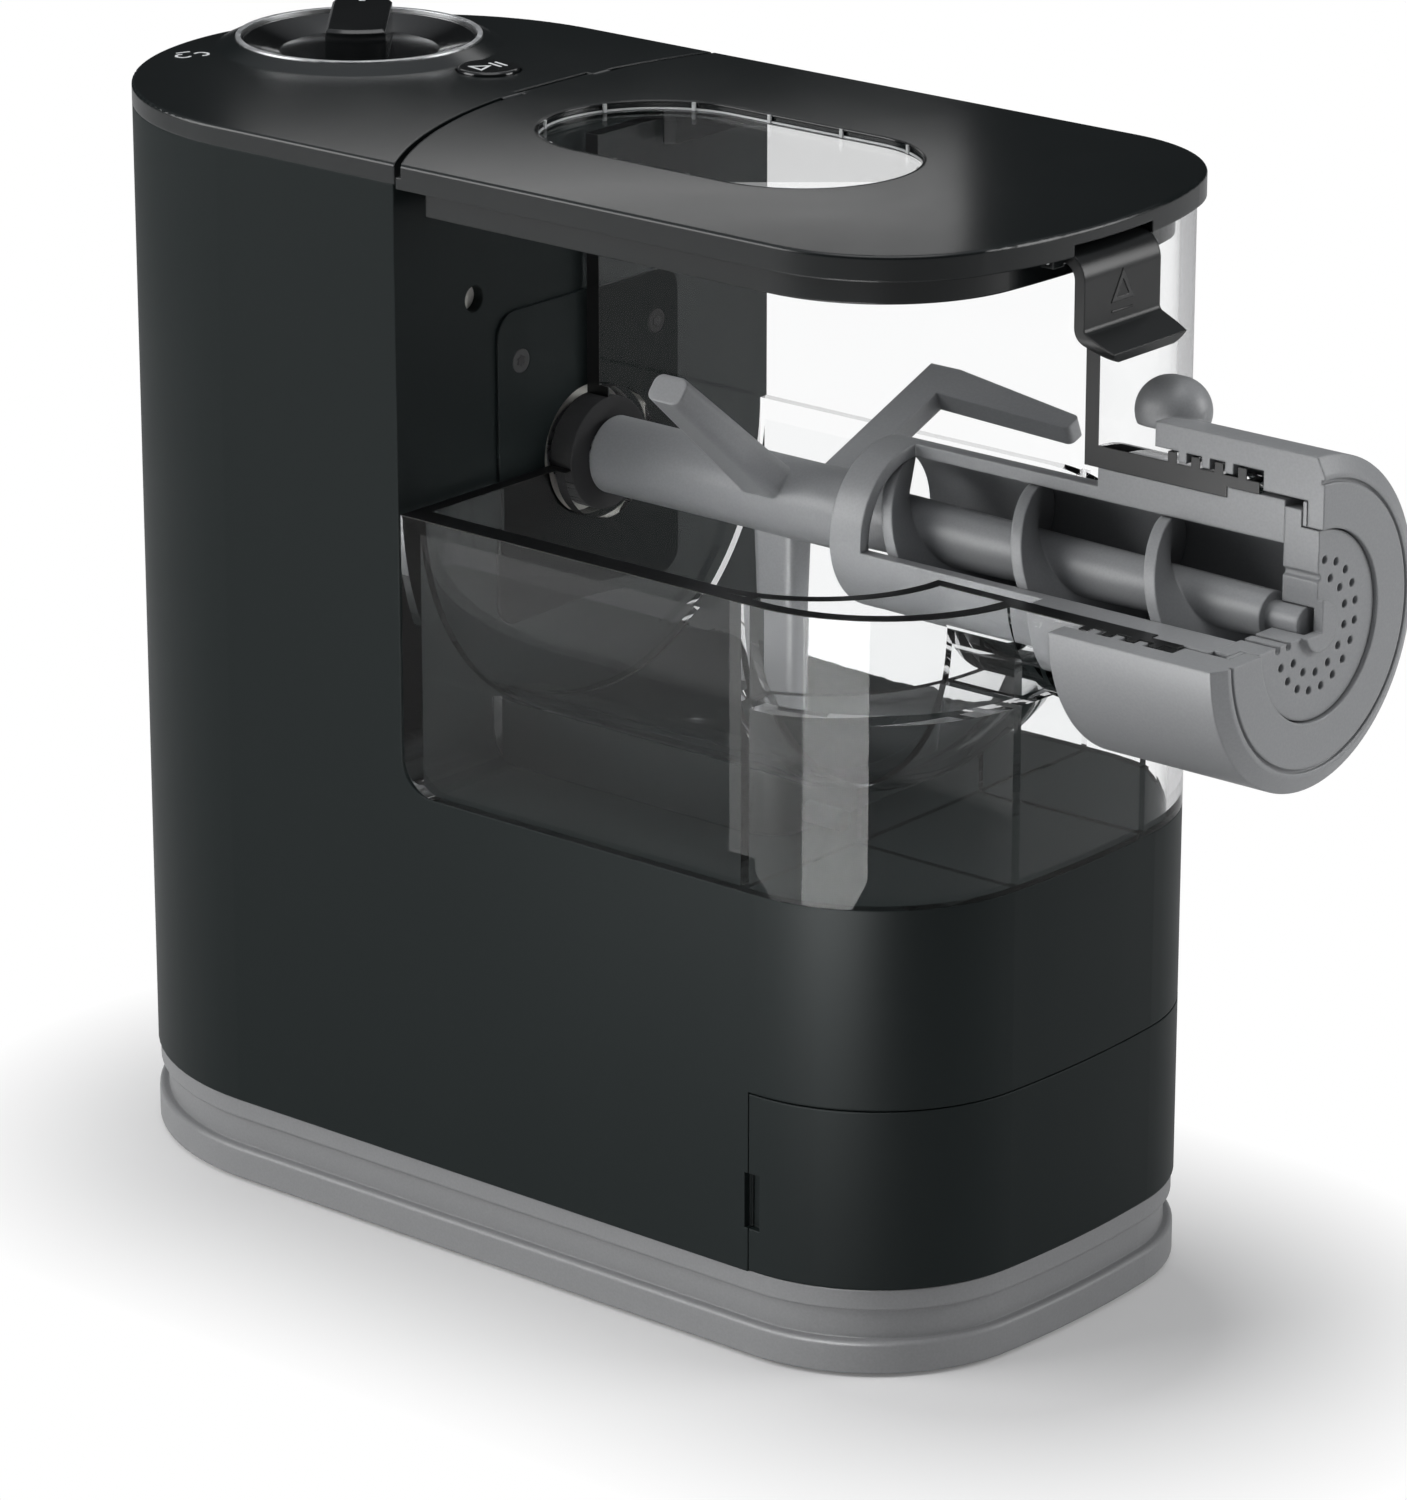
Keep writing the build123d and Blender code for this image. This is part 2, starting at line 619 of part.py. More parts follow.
def finger_notches():
    """Shallow pulls at the drawer's side seams."""
    low = BODY_LOW + FINGER_LOW
    pulls = Part()
    for side in (-1, 1):
        skin = side * HALF_WIDTH
        inner = skin - side * FINGER_DEPTH
        near, far = sorted((inner, skin + side * OVER))
        pulls += block(DRAWER_X - OVER, DRAWER_X + FINGER_WIDTH, near, far, low, low + FINGER_HEIGHT)
    return pulls


def tower_plate():
    """Thin cover on the tower's front wall, round the drive."""
    plate = block(TOWER_X, TOWER_X + TOWER_PLATE, -TOWER_PLATE_HALF, TOWER_PLATE_HALF,
                  AXIS_Z - TOWER_PLATE_DROP, AXIS_Z + TOWER_PLATE_RISE)
    plate = fillet(plate.edges().filter_by(Axis.X), TOWER_PLATE_ROUND)
    plate -= rod_x(DRIVE_HOLE, TOWER_X - OVER, TOWER_X + TOWER_PLATE + OVER)
    for side in (-1, 1):
        y = side * TOWER_SCREW_Y
        plate -= rod_x(SCREW_HEAD_RADIUS, TOWER_X - OVER, TOWER_X + OVER, y, AXIS_Z + TOWER_SCREW_RISE)
    return plate


def tower_screws():
    screws = []
    for side in (-1, 1):
        y = side * TOWER_SCREW_Y
        z = AXIS_Z + TOWER_SCREW_RISE
        shank = rod_x(TOWER_SCREW_RADIUS, TOWER_X - WALL, TOWER_X, y, z)
        screws.append(shank + rod_x(SCREW_HEAD_RADIUS, TOWER_X, TOWER_X + TOWER_PLATE, y, z))
    return screws


# ------------------------------------------------------------------ base
def base_screw_spots():
    side = HALF_WIDTH - PLINTH_WALL - PLINTH_LIP / 2
    return [(x, side * way) for x in BASE_SCREW_X for way in (-1, 1)]


def screw_holes(shape):
    for x, y in base_screw_spots():
        shape -= rod_z(BASE_SCREW_RADIUS, x, y, 0, LIP_TOP + OVER)
    return shape


def base_plinth():
    plinth = round_top(slab(0, PLINTH_LOW, LIP_TOP), PLINTH_ROUND)
    band_low = BODY_LOW - PLINTH_BAND_HEIGHT
    plinth += slab(PLINTH_WAIST, LIP_TOP - OVER, band_low)
    plinth += slab(PLINTH_BAND_INSET, band_low, BODY_LOW)
    plinth -= slab(PLINTH_WALL, LIP_TOP, BODY_LOW + OVER)
    plinth -= slab(PLINTH_WALL, PLINTH_LOW - OVER, PLATE_TOP)
    plinth -= slab(PLINTH_WALL + PLINTH_LIP, PLINTH_LOW - OVER, BODY_LOW + OVER)
    return screw_holes(plinth)


def base_plate():
    plate = slab(PLINTH_WALL + PART_GAP, PLATE_LOW, PLATE_TOP)
    half = VENT_LENGTH / 2
    for index in range(VENT_COUNT):
        x = VENT_X + (index - (VENT_COUNT - 1) / 2) * VENT_PITCH
        plate -= block(x - VENT_WIDTH / 2, x + VENT_WIDTH / 2, -half, half, 0, LIP_TOP)
    return screw_holes(plate)


def base_screws():
    screws = []
    for x, y in base_screw_spots():
        shank = rod_z(BASE_SCREW_RADIUS, x, y, PLATE_LOW, LIP_TOP)
        screws.append(shank + rod_z(SCREW_HEAD_RADIUS, x, y, PLATE_LOW - SCREW_HEAD_HEIGHT, PLATE_LOW))
    return screws


def rubber_feet():
    feet = []
    for x in (FOOT_REAR_X, FOOT_FRONT_X):
        for side in (-1, 1):
            foot = rod_z(FOOT_RADIUS, x, side * FOOT_Y, 0, PLATE_LOW)
            feet.append(fillet(foot.edges().group_by(Axis.Z)[0], FOOT_ROUND))
    return feet


# ------------------------------------------------------------------ top cover, dial and button
def rear_top_cover():
    cover = round_top(slab(0, COVER_LOW, TOP_Z), EDGE_ROUND) & behind_seam(0, COVER_LOW, TOP_Z)
    hollow = slab(COVER_WALL, COVER_LOW - OVER, TOP_Z - COVER_PLATE)
    cover -= hollow & behind_seam(COVER_WALL, COVER_LOW - OVER, TOP_Z - COVER_PLATE)
    cover += dial_collar()
    cover -= rod_z(RING_INNER, DIAL_X, CONTROL_Y, COVER_LOW - OVER, TOP_Z + COLLAR_HEIGHT + OVER)
    cover -= rod_z(RING_OUTER, DIAL_X, CONTROL_Y, TOP_Z + RING_SEAT, TOP_Z + COLLAR_HEIGHT + OVER)
    cover -= rod_z(BUTTON_HOLE, BUTTON_X, CONTROL_Y, COVER_LOW - OVER, TOP_Z + OVER)
    relief = KNUCKLE_RADIUS + HINGE_GAP
    near = CONTROL_Y - KNUCKLE_HALF - HINGE_GAP
    far = CONTROL_Y + KNUCKLE_HALF + HINGE_GAP
    cover -= rod_y(relief, HINGE_X, near, far, HINGE_Z)
    cover -= block(HINGE_X - relief, HINGE_X, near, far, HINGE_Z, TOP_Z + OVER)
    for near in ear_starts():
        cover += hinge_ear(near)
    reach = KNUCKLE_HALF + HINGE_GAP + EAR_LENGTH
    return cover - rod_y(HINGE_PIN_RADIUS + PRESS_FIT, HINGE_X, CONTROL_Y - reach, CONTROL_Y + reach, HINGE_Z)


def dial_collar():
    """Low cone round the dial, trimmed where it meets the rounded rear."""
    top = TOP_Z + COLLAR_HEIGHT
    low = TOP_Z - COVER_PLATE
    land = RING_OUTER + COLLAR_LAND
    cone = turned_upright([(0, low), (land + COLLAR_FLARE, low), (land + COLLAR_FLARE, TOP_Z),
                           (land, top), (0, top)], DIAL_X, CONTROL_Y)
    return cone & slab(0, low, top)


def ear_starts():
    far = CONTROL_Y + KNUCKLE_HALF + HINGE_GAP
    return [CONTROL_Y - KNUCKLE_HALF - HINGE_GAP - EAR_LENGTH, far]


def hinge_ear(near):
    ear = rod_y(KNUCKLE_RADIUS, HINGE_X, near, near + EAR_LENGTH, HINGE_Z)
    root = block(HINGE_X - EAR_ROOT, HINGE_X, near, near + EAR_LENGTH, HINGE_Z - KNUCKLE_RADIUS, TOP_Z)
    return ear + root


def lid_hinge_pin():
    reach = KNUCKLE_HALF + HINGE_GAP + EAR_LENGTH
    return rod_y(HINGE_PIN_RADIUS, HINGE_X, CONTROL_Y - reach, CONTROL_Y + reach, HINGE_Z)


def dial_ring():
    low = TOP_Z + RING_SEAT
    return turned_upright([(RING_INNER, low), (RING_OUTER, low), (RING_OUTER, low + RING_HEIGHT),
                           (RING_INNER, low + RING_HEIGHT)], DIAL_X, CONTROL_Y)


def selector_dial():
    low = COVER_LOW + DIAL_CLEARANCE
    rim = TOP_Z + DIAL_RIM_HEIGHT
    dish = rim - DIAL_DISH_DEPTH
    dial = turned_upright([(0, low), (DIAL_RADIUS, low), (DIAL_RADIUS, rim),
                           (DIAL_RADIUS - DIAL_RIM_WIDTH, rim), (DIAL_DISH_RADIUS, dish), (0, dish)],
                          DIAL_X, CONTROL_Y)
    bar = Rectangle(GRIP_LENGTH + OVER, GRIP_WIDTH) & Circle(GRIP_LENGTH / 2)
    grip = extrude(bar, GRIP_HEIGHT + DIAL_RIM_HEIGHT)
    grip = chamfer(grip.edges().group_by(Axis.Z)[-1], GRIP_CHAMFER)
    return dial + Pos(DIAL_X, CONTROL_Y, TOP_Z - DIAL_RIM_HEIGHT) * Rot(0, 0, GRIP_ANGLE) * grip


def dial_shaft():
    return rod_z(DIAL_SHAFT_RADIUS, DIAL_X, CONTROL_Y, BOARD_TOP + OVER, COVER_LOW + DIAL_CLEARANCE)


def start_button():
    button = rod_z(BUTTON_RADIUS, BUTTON_X, CONTROL_Y, FLANGE_LOW, BUTTON_TOP)
    button = round_top(button, EDGE_ROUND)
    button += rod_z(BUTTON_RADIUS + BUTTON_FLANGE, BUTTON_X, CONTROL_Y, FLANGE_LOW, FLANGE_TOP)
    stem_low = BOARD_TOP + SWITCH_HEIGHT + BUTTON_TRAVEL + PART_GAP
    return button + rod_z(BUTTON_STEM_RADIUS, BUTTON_X, CONTROL_Y, stem_low, FLANGE_TOP)


# ------------------------------------------------------------------ control board
def control_board():
    low = BOARD_TOP - BOARD_THICKNESS
    return block(BOARD_REAR_X, BOARD_FRONT_X, BOARD_NEAR_Y, BOARD_FAR_Y, low, BOARD_TOP)


def board_posts():
    posts = []
    for x in (BOARD_REAR_X + BOARD_POST_INSET, BOARD_FRONT_X - BOARD_POST_INSET):
        for y in (BOARD_NEAR_Y + BOARD_POST_INSET, BOARD_FAR_Y - BOARD_POST_INSET):
            posts.append(rod_z(BOARD_POST_RADIUS, x, y, BOARD_TOP, BODY_CEILING))
    return posts


def upright_box(x, y, z, size_x, size_y, height):
    return block(x - size_x / 2, x + size_x / 2, y - size_y / 2, y + size_y / 2, z, z + height)


def selector_switch():
    switch = upright_box(DIAL_X, CONTROL_Y, BOARD_TOP, SELECTOR_SIZE, SELECTOR_SIZE, SELECTOR_HEIGHT)
    bore = DIAL_SHAFT_RADIUS + RUNNING_FIT
    return switch - rod_z(bore, DIAL_X, CONTROL_Y, BOARD_TOP + PART_GAP, BODY_CEILING)


def start_switch():
    return upright_box(BUTTON_X, CONTROL_Y, BOARD_TOP, SWITCH_SIZE, SWITCH_SIZE, SWITCH_HEIGHT)


def lid_switch():
    return upright_box(LID_SWITCH_X, LID_SWITCH_Y, BOARD_TOP, SWITCH_SIZE, SWITCH_SIZE, LID_SWITCH_HEIGHT)


# ------------------------------------------------------------------ lid
def lid_cover():
    lid = round_top(lid_slab(0, LID_LOW, TOP_Z), EDGE_ROUND) & seam_disc(SEAM_ARC_RADIUS, LID_LOW, TOP_Z)
    band_low = TOP_Z - LID_BAND_DEPTH
    band = lid_slab(0, band_low, LID_LOW) - lid_slab(LID_BAND_WALL, band_low, LID_LOW)
    band &= block(TOWER_X + LID_TOWER_GAP, FAR, -FAR, FAR, band_low, LID_LOW)
    lid += band - block(LATCH_PIVOT_X, FAR, -LATCH_EAR_Y, LATCH_EAR_Y, band_low, LID_LOW)
    lid -= window_slab(0, LID_LOW - OVER, TOP_Z + OVER)
    reach = HINGE_X + KNUCKLE_RADIUS + HINGE_GAP
    slot = 2 * HINGE_GAP + EAR_LENGTH + EAR_RELIEF
    for side in (-1, 1):
        inner = CONTROL_Y + side * KNUCKLE_HALF
        near, far = sorted((inner, inner + side * slot))
        lid -= block(-FAR, reach, near, far, LID_LOW, TOP_Z)
    lid += rod_y(KNUCKLE_RADIUS, HINGE_X, CONTROL_Y - KNUCKLE_HALF, CONTROL_Y + KNUCKLE_HALF, HINGE_Z)
    bore = HINGE_PIN_RADIUS + RUNNING_FIT
    lid -= rod_y(bore, HINGE_X, CONTROL_Y - KNUCKLE_HALF, CONTROL_Y + KNUCKLE_HALF, HINGE_Z)
    return lid + latch_ears()


def latch_ears():
    ears = Part()
    low = LATCH_PIVOT_Z - LATCH_EAR_HALF
    for near in (-LATCH_EAR_Y - LATCH_EAR, LATCH_EAR_Y):
        ear = block(LATCH_PIVOT_X - LATCH_EAR_HALF, LATCH_PIVOT_X + LATCH_EAR_HALF,
                    near, near + LATCH_EAR, low, LID_LOW)
        ears += ear - rod_y(LATCH_PIN_RADIUS, LATCH_PIVOT_X, near, near + LATCH_EAR, LATCH_PIVOT_Z)
    return ears


def lid_window():
    top = TOP_Z - WINDOW_DEPTH
    return window_slab(0, top - WINDOW_THICKNESS, top)


def lid_rim():
    """Inner frame under the lid that drops just inside the chamber's walls."""
    inset = CHAMBER_WALL + RIM_CLEARANCE
    low = TOP_Z - RIM_DEPTH
    ahead = block(RIM_REAR_X, FAR, -FAR, FAR, low, LID_LOW)
    bay = block(RIM_REAR_X + RIM_WALL, FAR, -FAR, FAR, low - OVER, LID_LOW + OVER)
    rim = slab(inset, low, LID_LOW) & ahead
    rim -= slab(inset + RIM_WALL, low - OVER, LID_LOW + OVER) & bay
    return rim - window_slab(RIM_WALL, low - OVER, LID_LOW + OVER)


def latch_pin():
    reach = LATCH_EAR_Y + LATCH_EAR
    return rod_y(LATCH_PIN_RADIUS, LATCH_PIVOT_X, -reach, reach, LATCH_PIVOT_Z)


def lid_latch():
    top = LID_LOW - LATCH_TOP_GAP - LATCH_THICKNESS / 2
    foot = top - LATCH_DROP
    path = FilletPolyline((LATCH_PIVOT_X, top), (LATCH_X, top), (LATCH_X, foot),
                          (LATCH_X + LATCH_LIP_REACH, foot - LATCH_LIP_DROP),
                          radius=[LATCH_BEND, LATCH_LIP_BEND])
    strap = trace(path, LATCH_THICKNESS)
    latch = extrude(Plane.XZ * strap, LATCH_HALF_WIDTH, both=True)
    latch &= latch_front()
    latch += rod_y(LATCH_KNUCKLE_RADIUS, LATCH_PIVOT_X, -LATCH_HALF_WIDTH, LATCH_HALF_WIDTH, LATCH_PIVOT_Z)
    bore = LATCH_PIN_RADIUS + RUNNING_FIT
    return latch - rod_y(bore, LATCH_PIVOT_X, -LATCH_HALF_WIDTH, LATCH_HALF_WIDTH, LATCH_PIVOT_Z)


def latch_front():
    """Latch seen from the front: a plate with two round lower corners."""
    low = LID_LOW - LATCH_TOP_GAP - LATCH_DROP - LATCH_LIP_DROP - LATCH_THICKNESS
    face = block(LATCH_PIVOT_X - LATCH_THICKNESS, LATCH_X + LATCH_LIP_REACH + LATCH_THICKNESS,
                 -LATCH_HALF_WIDTH, LATCH_HALF_WIDTH, low, TOP_Z)
    return fillet(face.edges().filter_by(Axis.X).group_by(Axis.Z)[0], LATCH_CORNER)


# ------------------------------------------------------------------ mixing chamber
def bowl(grow, rear_x):
    """Solid that fills the trough, its domed end and the neck, grown by a wall."""
    radius = TROUGH_RADIUS + grow
    neck = COLLAR_BORE + grow
    turn = TROUGH_RADIUS - COLLAR_BORE + grow
    meet = math.asin(grow / turn)
    middle = (math.pi / 2 + meet) / 2
    rise = AXIS_Z + COLLAR_BORE
    bend = (DOME_X + turn * math.cos(middle), 0, rise + turn * math.sin(middle))
    join = (DOME_X + turn * math.cos(meet), 0, AXIS_Z + neck)
    edges = [
        Line((rear_x, 0, AXIS_Z), (rear_x, 0, AXIS_Z + radius)),
        Line((rear_x, 0, AXIS_Z + radius), (DOME_X, 0, AXIS_Z + radius)),
        ThreePointArc((DOME_X, 0, AXIS_Z + radius), bend, join),
        Line(join, (FRONT_X + OVER, 0, AXIS_Z + neck)),
        Line((FRONT_X + OVER, 0, AXIS_Z + neck), (FRONT_X + OVER, 0, AXIS_Z)),
        Line((FRONT_X + OVER, 0, AXIS_Z), (rear_x, 0, AXIS_Z)),
    ]
    return revolve(make_face(edges), Axis((0, 0, AXIS_Z), (1, 0, 0)))


def chamber_skirt():
    """Outer walls, which carry on the body's own outline."""
    space = recess(CHAMBER_REAR_X, DECK_Z, CHAMBER_TOP, NOTCH_RADIUS + TOWER_PLATE)
    skirt = slab(0, DECK_Z, CHAMBER_TOP) - slab(CHAMBER_WALL, DECK_Z - OVER, CHAMBER_TOP + OVER)
    rear = slab(0, DECK_Z, CHAMBER_TOP) & block(CHAMBER_REAR_X, CHAMBER_INNER_X, -FAR, FAR, 0, FAR)
    return (skirt + rear) & space


def chamber_supports():
    """Ribs and ledge that tie the trough and its dome to the outer walls."""
    inside = slab(CHAMBER_WALL - SEAM, DECK_Z, AXIS_Z)
    ribs = inside & block(RIB_X - RIB, RIB_X, -FAR, FAR, DECK_Z, AXIS_Z)
    for side in (-1, 1):
        y = side * RIB_SPACING / 2
        ribs += inside & block(RIB_X - RIB, FAR, y - RIB / 2, y + RIB / 2, DECK_Z, AXIS_Z)
    top = AXIS_Z - LEDGE_DROP
    ribs += inside & block(RIB_X - RIB, FAR, -FAR, FAR, top - LEDGE_THICKNESS, top)
    return ribs


def chamber_collar():
    """Threaded neck: ridges for the locking ring, bored for the extruding tube."""
    rear = FRONT_X - CHAMBER_WALL + SEAM
    neck = [(rear, COLLAR_BORE), (rear, THREAD_ROOT)]
    crest = THREAD_ROOT + THREAD_DEPTH
    for index in range(THREAD_COUNT):
        x = LAST_TOOTH_X - (THREAD_COUNT - 1 - index) * THREAD_PITCH
        neck += [(x, THREAD_ROOT), (x, crest), (x + THREAD_LAND, crest), (x + THREAD_LAND, THREAD_ROOT)]
    front = COLLAR_BORE + COLLAR_STEP
    neck += [(COLLAR_FRONT_X, THREAD_ROOT), (COLLAR_FRONT_X, front),
             (COLLAR_STEP_X, front), (COLLAR_STEP_X, COLLAR_BORE)]
    return turned(neck)


def cradle_space():
    """Room for the bed under the trough, open at the rear wall."""
    half = CRADLE_HALF_WIDTH + PART_GAP
    room = block(TOWER_X, CHAMBER_INNER_X + OVER, -half, half, DECK_Z - OVER, AXIS_Z)
    return room - rod_x(CRADLE_RADIUS - PART_GAP, TOWER_X - OVER, CHAMBER_INNER_X + 2 * OVER)


def mixing_chamber():
    lower = block(CHAMBER_INNER_X - SEAM, FAR, -FAR, FAR, 0, AXIS_Z)
    chamber = chamber_skirt() + chamber_supports()
    chamber += bowl(TROUGH_WALL, CHAMBER_INNER_X - SEAM) & lower
    boss = SEAL_RADIUS + BOSS_WALL
    chamber += rod_x(boss, CHAMBER_INNER_X - SEAM, CHAMBER_INNER_X + BOSS_LENGTH)
    chamber -= bowl(0, CHAMBER_INNER_X + BOSS_LENGTH)
    ring_space = rod_x(TROUGH_RADIUS, CHAMBER_INNER_X, CHAMBER_INNER_X + BOSS_LENGTH)
    chamber -= ring_space - rod_x(boss, CHAMBER_INNER_X, CHAMBER_INNER_X + BOSS_LENGTH)
    chamber += chamber_collar()
    chamber -= cradle_space()
    chamber -= rod_x(SEAL_RADIUS, CHAMBER_REAR_X - OVER, CHAMBER_INNER_X + BOSS_LENGTH + OVER)
    notch = LATCH_EAR_Y + LATCH_EAR + PART_GAP
    chamber -= block(LATCH_PIVOT_X - WALL - OVER, FAR, -notch, notch, CHAMBER_TOP - LATCH_NOTCH_DEPTH, FAR)
    return chamber - near_quarter()


def chamber_seal():
    front = CHAMBER_INNER_X + BOSS_LENGTH
    seal = rod_x(SEAL_RADIUS, CHAMBER_REAR_X, front)
    return seal - rod_x(COUPLING_RADIUS + RUNNING_FIT, CHAMBER_REAR_X, front)


# ------------------------------------------------------------------ nozzle
def extruding_tube():
    thin = TUBE_BORE + TUBE_THIN_WALL
    wide = COLLAR_BORE - TUBE_FIT
    lip = COLLAR_BORE + COLLAR_STEP - TUBE_FIT
    tube = turned([(TUBE_REAR_X, TUBE_BORE), (TUBE_REAR_X, thin), (FRONT_X, thin), (FRONT_X, wide),
                   (COLLAR_STEP_X, wide), (COLLAR_STEP_X, lip), (TUBE_FRONT_X, lip),
                   (TUBE_FRONT_X, TUBE_BORE)])
    cut = near_quarter() & block(TUBE_REAR_X + DISC_THICKNESS * 2, FAR, -FAR, FAR, 0, FAR)
    return tube - cut


def shaping_disc():
    socket = AUGER_NUB_RADIUS + WASHER_GAP
    disc = turned([(TUBE_FRONT_X, socket), (TUBE_FRONT_X, DISC_RADIUS), (DISC_FRONT_X, DISC_RADIUS),
                   (DISC_FRONT_X, NOSE_RADIUS), (NOSE_X, NOSE_RADIUS), (NOSE_X, DISC_BOSS_RADIUS),
                   (BOSS_X, DISC_BOSS_RADIUS), (BOSS_X, 0), (NOSE_X - DISC_WEB, 0),
                   (NOSE_X - DISC_WEB, socket)])
    for radius, count in zip(NOODLE_CIRCLES, NOODLE_COUNTS):
        for index in range(count):
            angle = 2 * math.pi * (index + 0.5) / count
            y = radius * math.cos(angle)
            z = AXIS_Z + radius * math.sin(angle)
            disc -= rod_x(NOODLE_HOLE, TUBE_FRONT_X - OVER, NOSE_X + OVER, y, z)
    return disc - near_quarter()


def slip_washer():
    front = WASHER_X + WASHER_THICKNESS
    outer = RING_CAVITY - PART_GAP
    washer = turned([(WASHER_X, RING_MOUTH), (WASHER_X, outer), (front, outer), (front, RING_MOUTH)])
    return washer - near_quarter()


def ring_profile():
    """Section of the locking ring, from its rear edge round to its inner teeth."""
    groove = RING_FACE_GROOVE
    floor = RING_FRONT_X - GROOVE_DEPTH
    section = [(RING_REAR_X, TOOTH_ROOT), (RING_REAR_X, RING_RADIUS),
               (RING_FRONT_X - RING_EDGE / 2, RING_RADIUS), (RING_FRONT_X, RING_RADIUS - RING_EDGE),
               (RING_FRONT_X, groove + GROOVE_WIDTH), (floor, groove + GROOVE_WIDTH), (floor, groove),
               (RING_FRONT_X, groove), (RING_FRONT_X, RING_MOUTH), (LIP_X, RING_MOUTH),
               (LIP_X, RING_CAVITY), (COLLAR_FRONT_X + OVER, RING_CAVITY),
               (COLLAR_FRONT_X + OVER, TOOTH_ROOT)]
    for index in range(THREAD_COUNT - 1):
        rear = LAST_TOOTH_X - (index + 1) * THREAD_PITCH + THREAD_LAND + THREAD_GAP
        front = rear + RING_TOOTH
        section += [(front, TOOTH_ROOT), (front, TOOTH_CREST), (rear, TOOTH_CREST), (rear, TOOTH_ROOT)]
    return section


def locking_ring():
    return turned(ring_profile()) + grip_lug() - near_quarter()


def grip_lug():
    """Rounded thumb lug on the ring's rear edge."""
    rear = RING_REAR_X - LUG_SETBACK
    front = rear + LUG_LENGTH
    cap = Rot(0, 90, 0) * Sphere(LUG_RADIUS)
    lug = rod_x(LUG_RADIUS, rear, front, 0, LUG_CENTRE)
    lug += Pos(rear, 0, LUG_CENTRE) * cap
    lug += Pos(front, 0, LUG_CENTRE) * cap
    lug = Pos(0, 0, AXIS_Z) * Rot(LUG_ANGLE - 90, 0, 0) * lug
    return lug - rod_x(LUG_FLOOR, rear - LUG_RADIUS - OVER, front + LUG_RADIUS + OVER)


# ------------------------------------------------------------------ auger and paddle
def auger():
    core = turned([(AUGER_REAR_X, 0), (AUGER_REAR_X, AUGER_CORE_REAR), (AUGER_TIP_X, AUGER_CORE_FRONT),
                   (AUGER_TIP_X, AUGER_NUB_RADIUS), (NUB_END_X, AUGER_NUB_RADIUS), (NUB_END_X, 0)])
    return core + auger_flight()


def auger_flight():
    """One right-handed screw flight, drawn as a sector and twisted along the axis."""
    half = math.radians(FLIGHT_ANGLE / 2)
    inner = AUGER_CORE_FRONT - OVER
    x = FLIGHT_START_X
    low = (x, -inner * math.sin(half), AXIS_Z + inner * math.cos(half))
    low_tip = (x, -FLIGHT_RADIUS * math.sin(half), AXIS_Z + FLIGHT_RADIUS * math.cos(half))
    high = (x, -low[1], low[2])
    high_tip = (x, -low_tip[1], low_tip[2])
    edges = [
        Line(low, low_tip),
        ThreePointArc(low_tip, (x, 0, AXIS_Z + FLIGHT_RADIUS), high_tip),
        Line(high_tip, high),
        Line(high, low),
    ]
    length = TUBE_FRONT_X - FLIGHT_END_GAP - FLIGHT_START_X
    sweep_angle = 360 * length / FLIGHT_PITCH
    return Solid.extrude_linear_with_rotation(Wire(edges), (x, 0, AXIS_Z), (length, 0, 0), sweep_angle)


def paddle_arm(angle):
    root = Plane((ARM_X, HUB_RADIUS / 2, 0), (1, 0, 0), (0, 1, 0)) * RectangleRounded(*ARM_ROOT, ARM_ROUND)
    tip = Plane((ARM_X, ARM_REACH, 0), (1, 0, 0), (0, 1, 0)) * RectangleRounded(*ARM_TIP, ARM_ROUND)
    return Pos(0, 0, AXIS_Z) * Rot(angle, 0, 0) * loft([root, tip])


def wiper_arm():
    """Third arm, whose long blade reaches forward along the chamber wall."""
    front_reach = ARM_REACH - WIPER_TIP_DROP
    shoulder_x = WIPER_REAR_X + WIPER_SHOULDER
    inner = ARM_REACH - WIPER_DEPTH
    corners = [(WIPER_REAR_X, HUB_RADIUS / 2), (WIPER_REAR_X, ARM_REACH), (shoulder_x, ARM_REACH),
               (WIPER_FRONT_X, front_reach), (WIPER_FRONT_X, front_reach - WIPER_TIP_DEPTH),
               (shoulder_x, inner), (shoulder_x, HUB_RADIUS / 2)]
    face = make_face(Polyline(*[(x, reach, 0) for x, reach in corners], close=True))
    arm = extrude(face, WIPER_THICKNESS / 2, both=True)
    arm = fillet(arm.edges().filter_by(Axis.Z).group_by(Axis.X)[-1], WIPER_ROUND)
    return Pos(0, 0, AXIS_Z) * Rot(WIPER_ANGLE, 0, 0) * arm


def mixing_paddle():
    paddle = rod_x(HUB_RADIUS, HUB_REAR_X, AUGER_REAR_X)
    for angle in ARM_ANGLES:
        paddle += paddle_arm(angle)
    paddle += wiper_arm()
    return paddle - coupling_key(HUB_REAR_X - OVER)


def coupling_key(rear_x):
    """Round drive end with two flats."""
    front = HUB_REAR_X + COUPLING_INSERT
    key = rod_x(COUPLING_RADIUS, rear_x, front)
    flat = COUPLING_FLAT / 2
    return key & block(rear_x, front, -FAR, FAR, AXIS_Z - flat, AXIS_Z + flat)


def drive_coupling():
    coupling = rod_x(COUPLING_RADIUS, CHAMBER_REAR_X - WALL, HUB_REAR_X)
    return coupling + coupling_key(HUB_REAR_X - OVER)


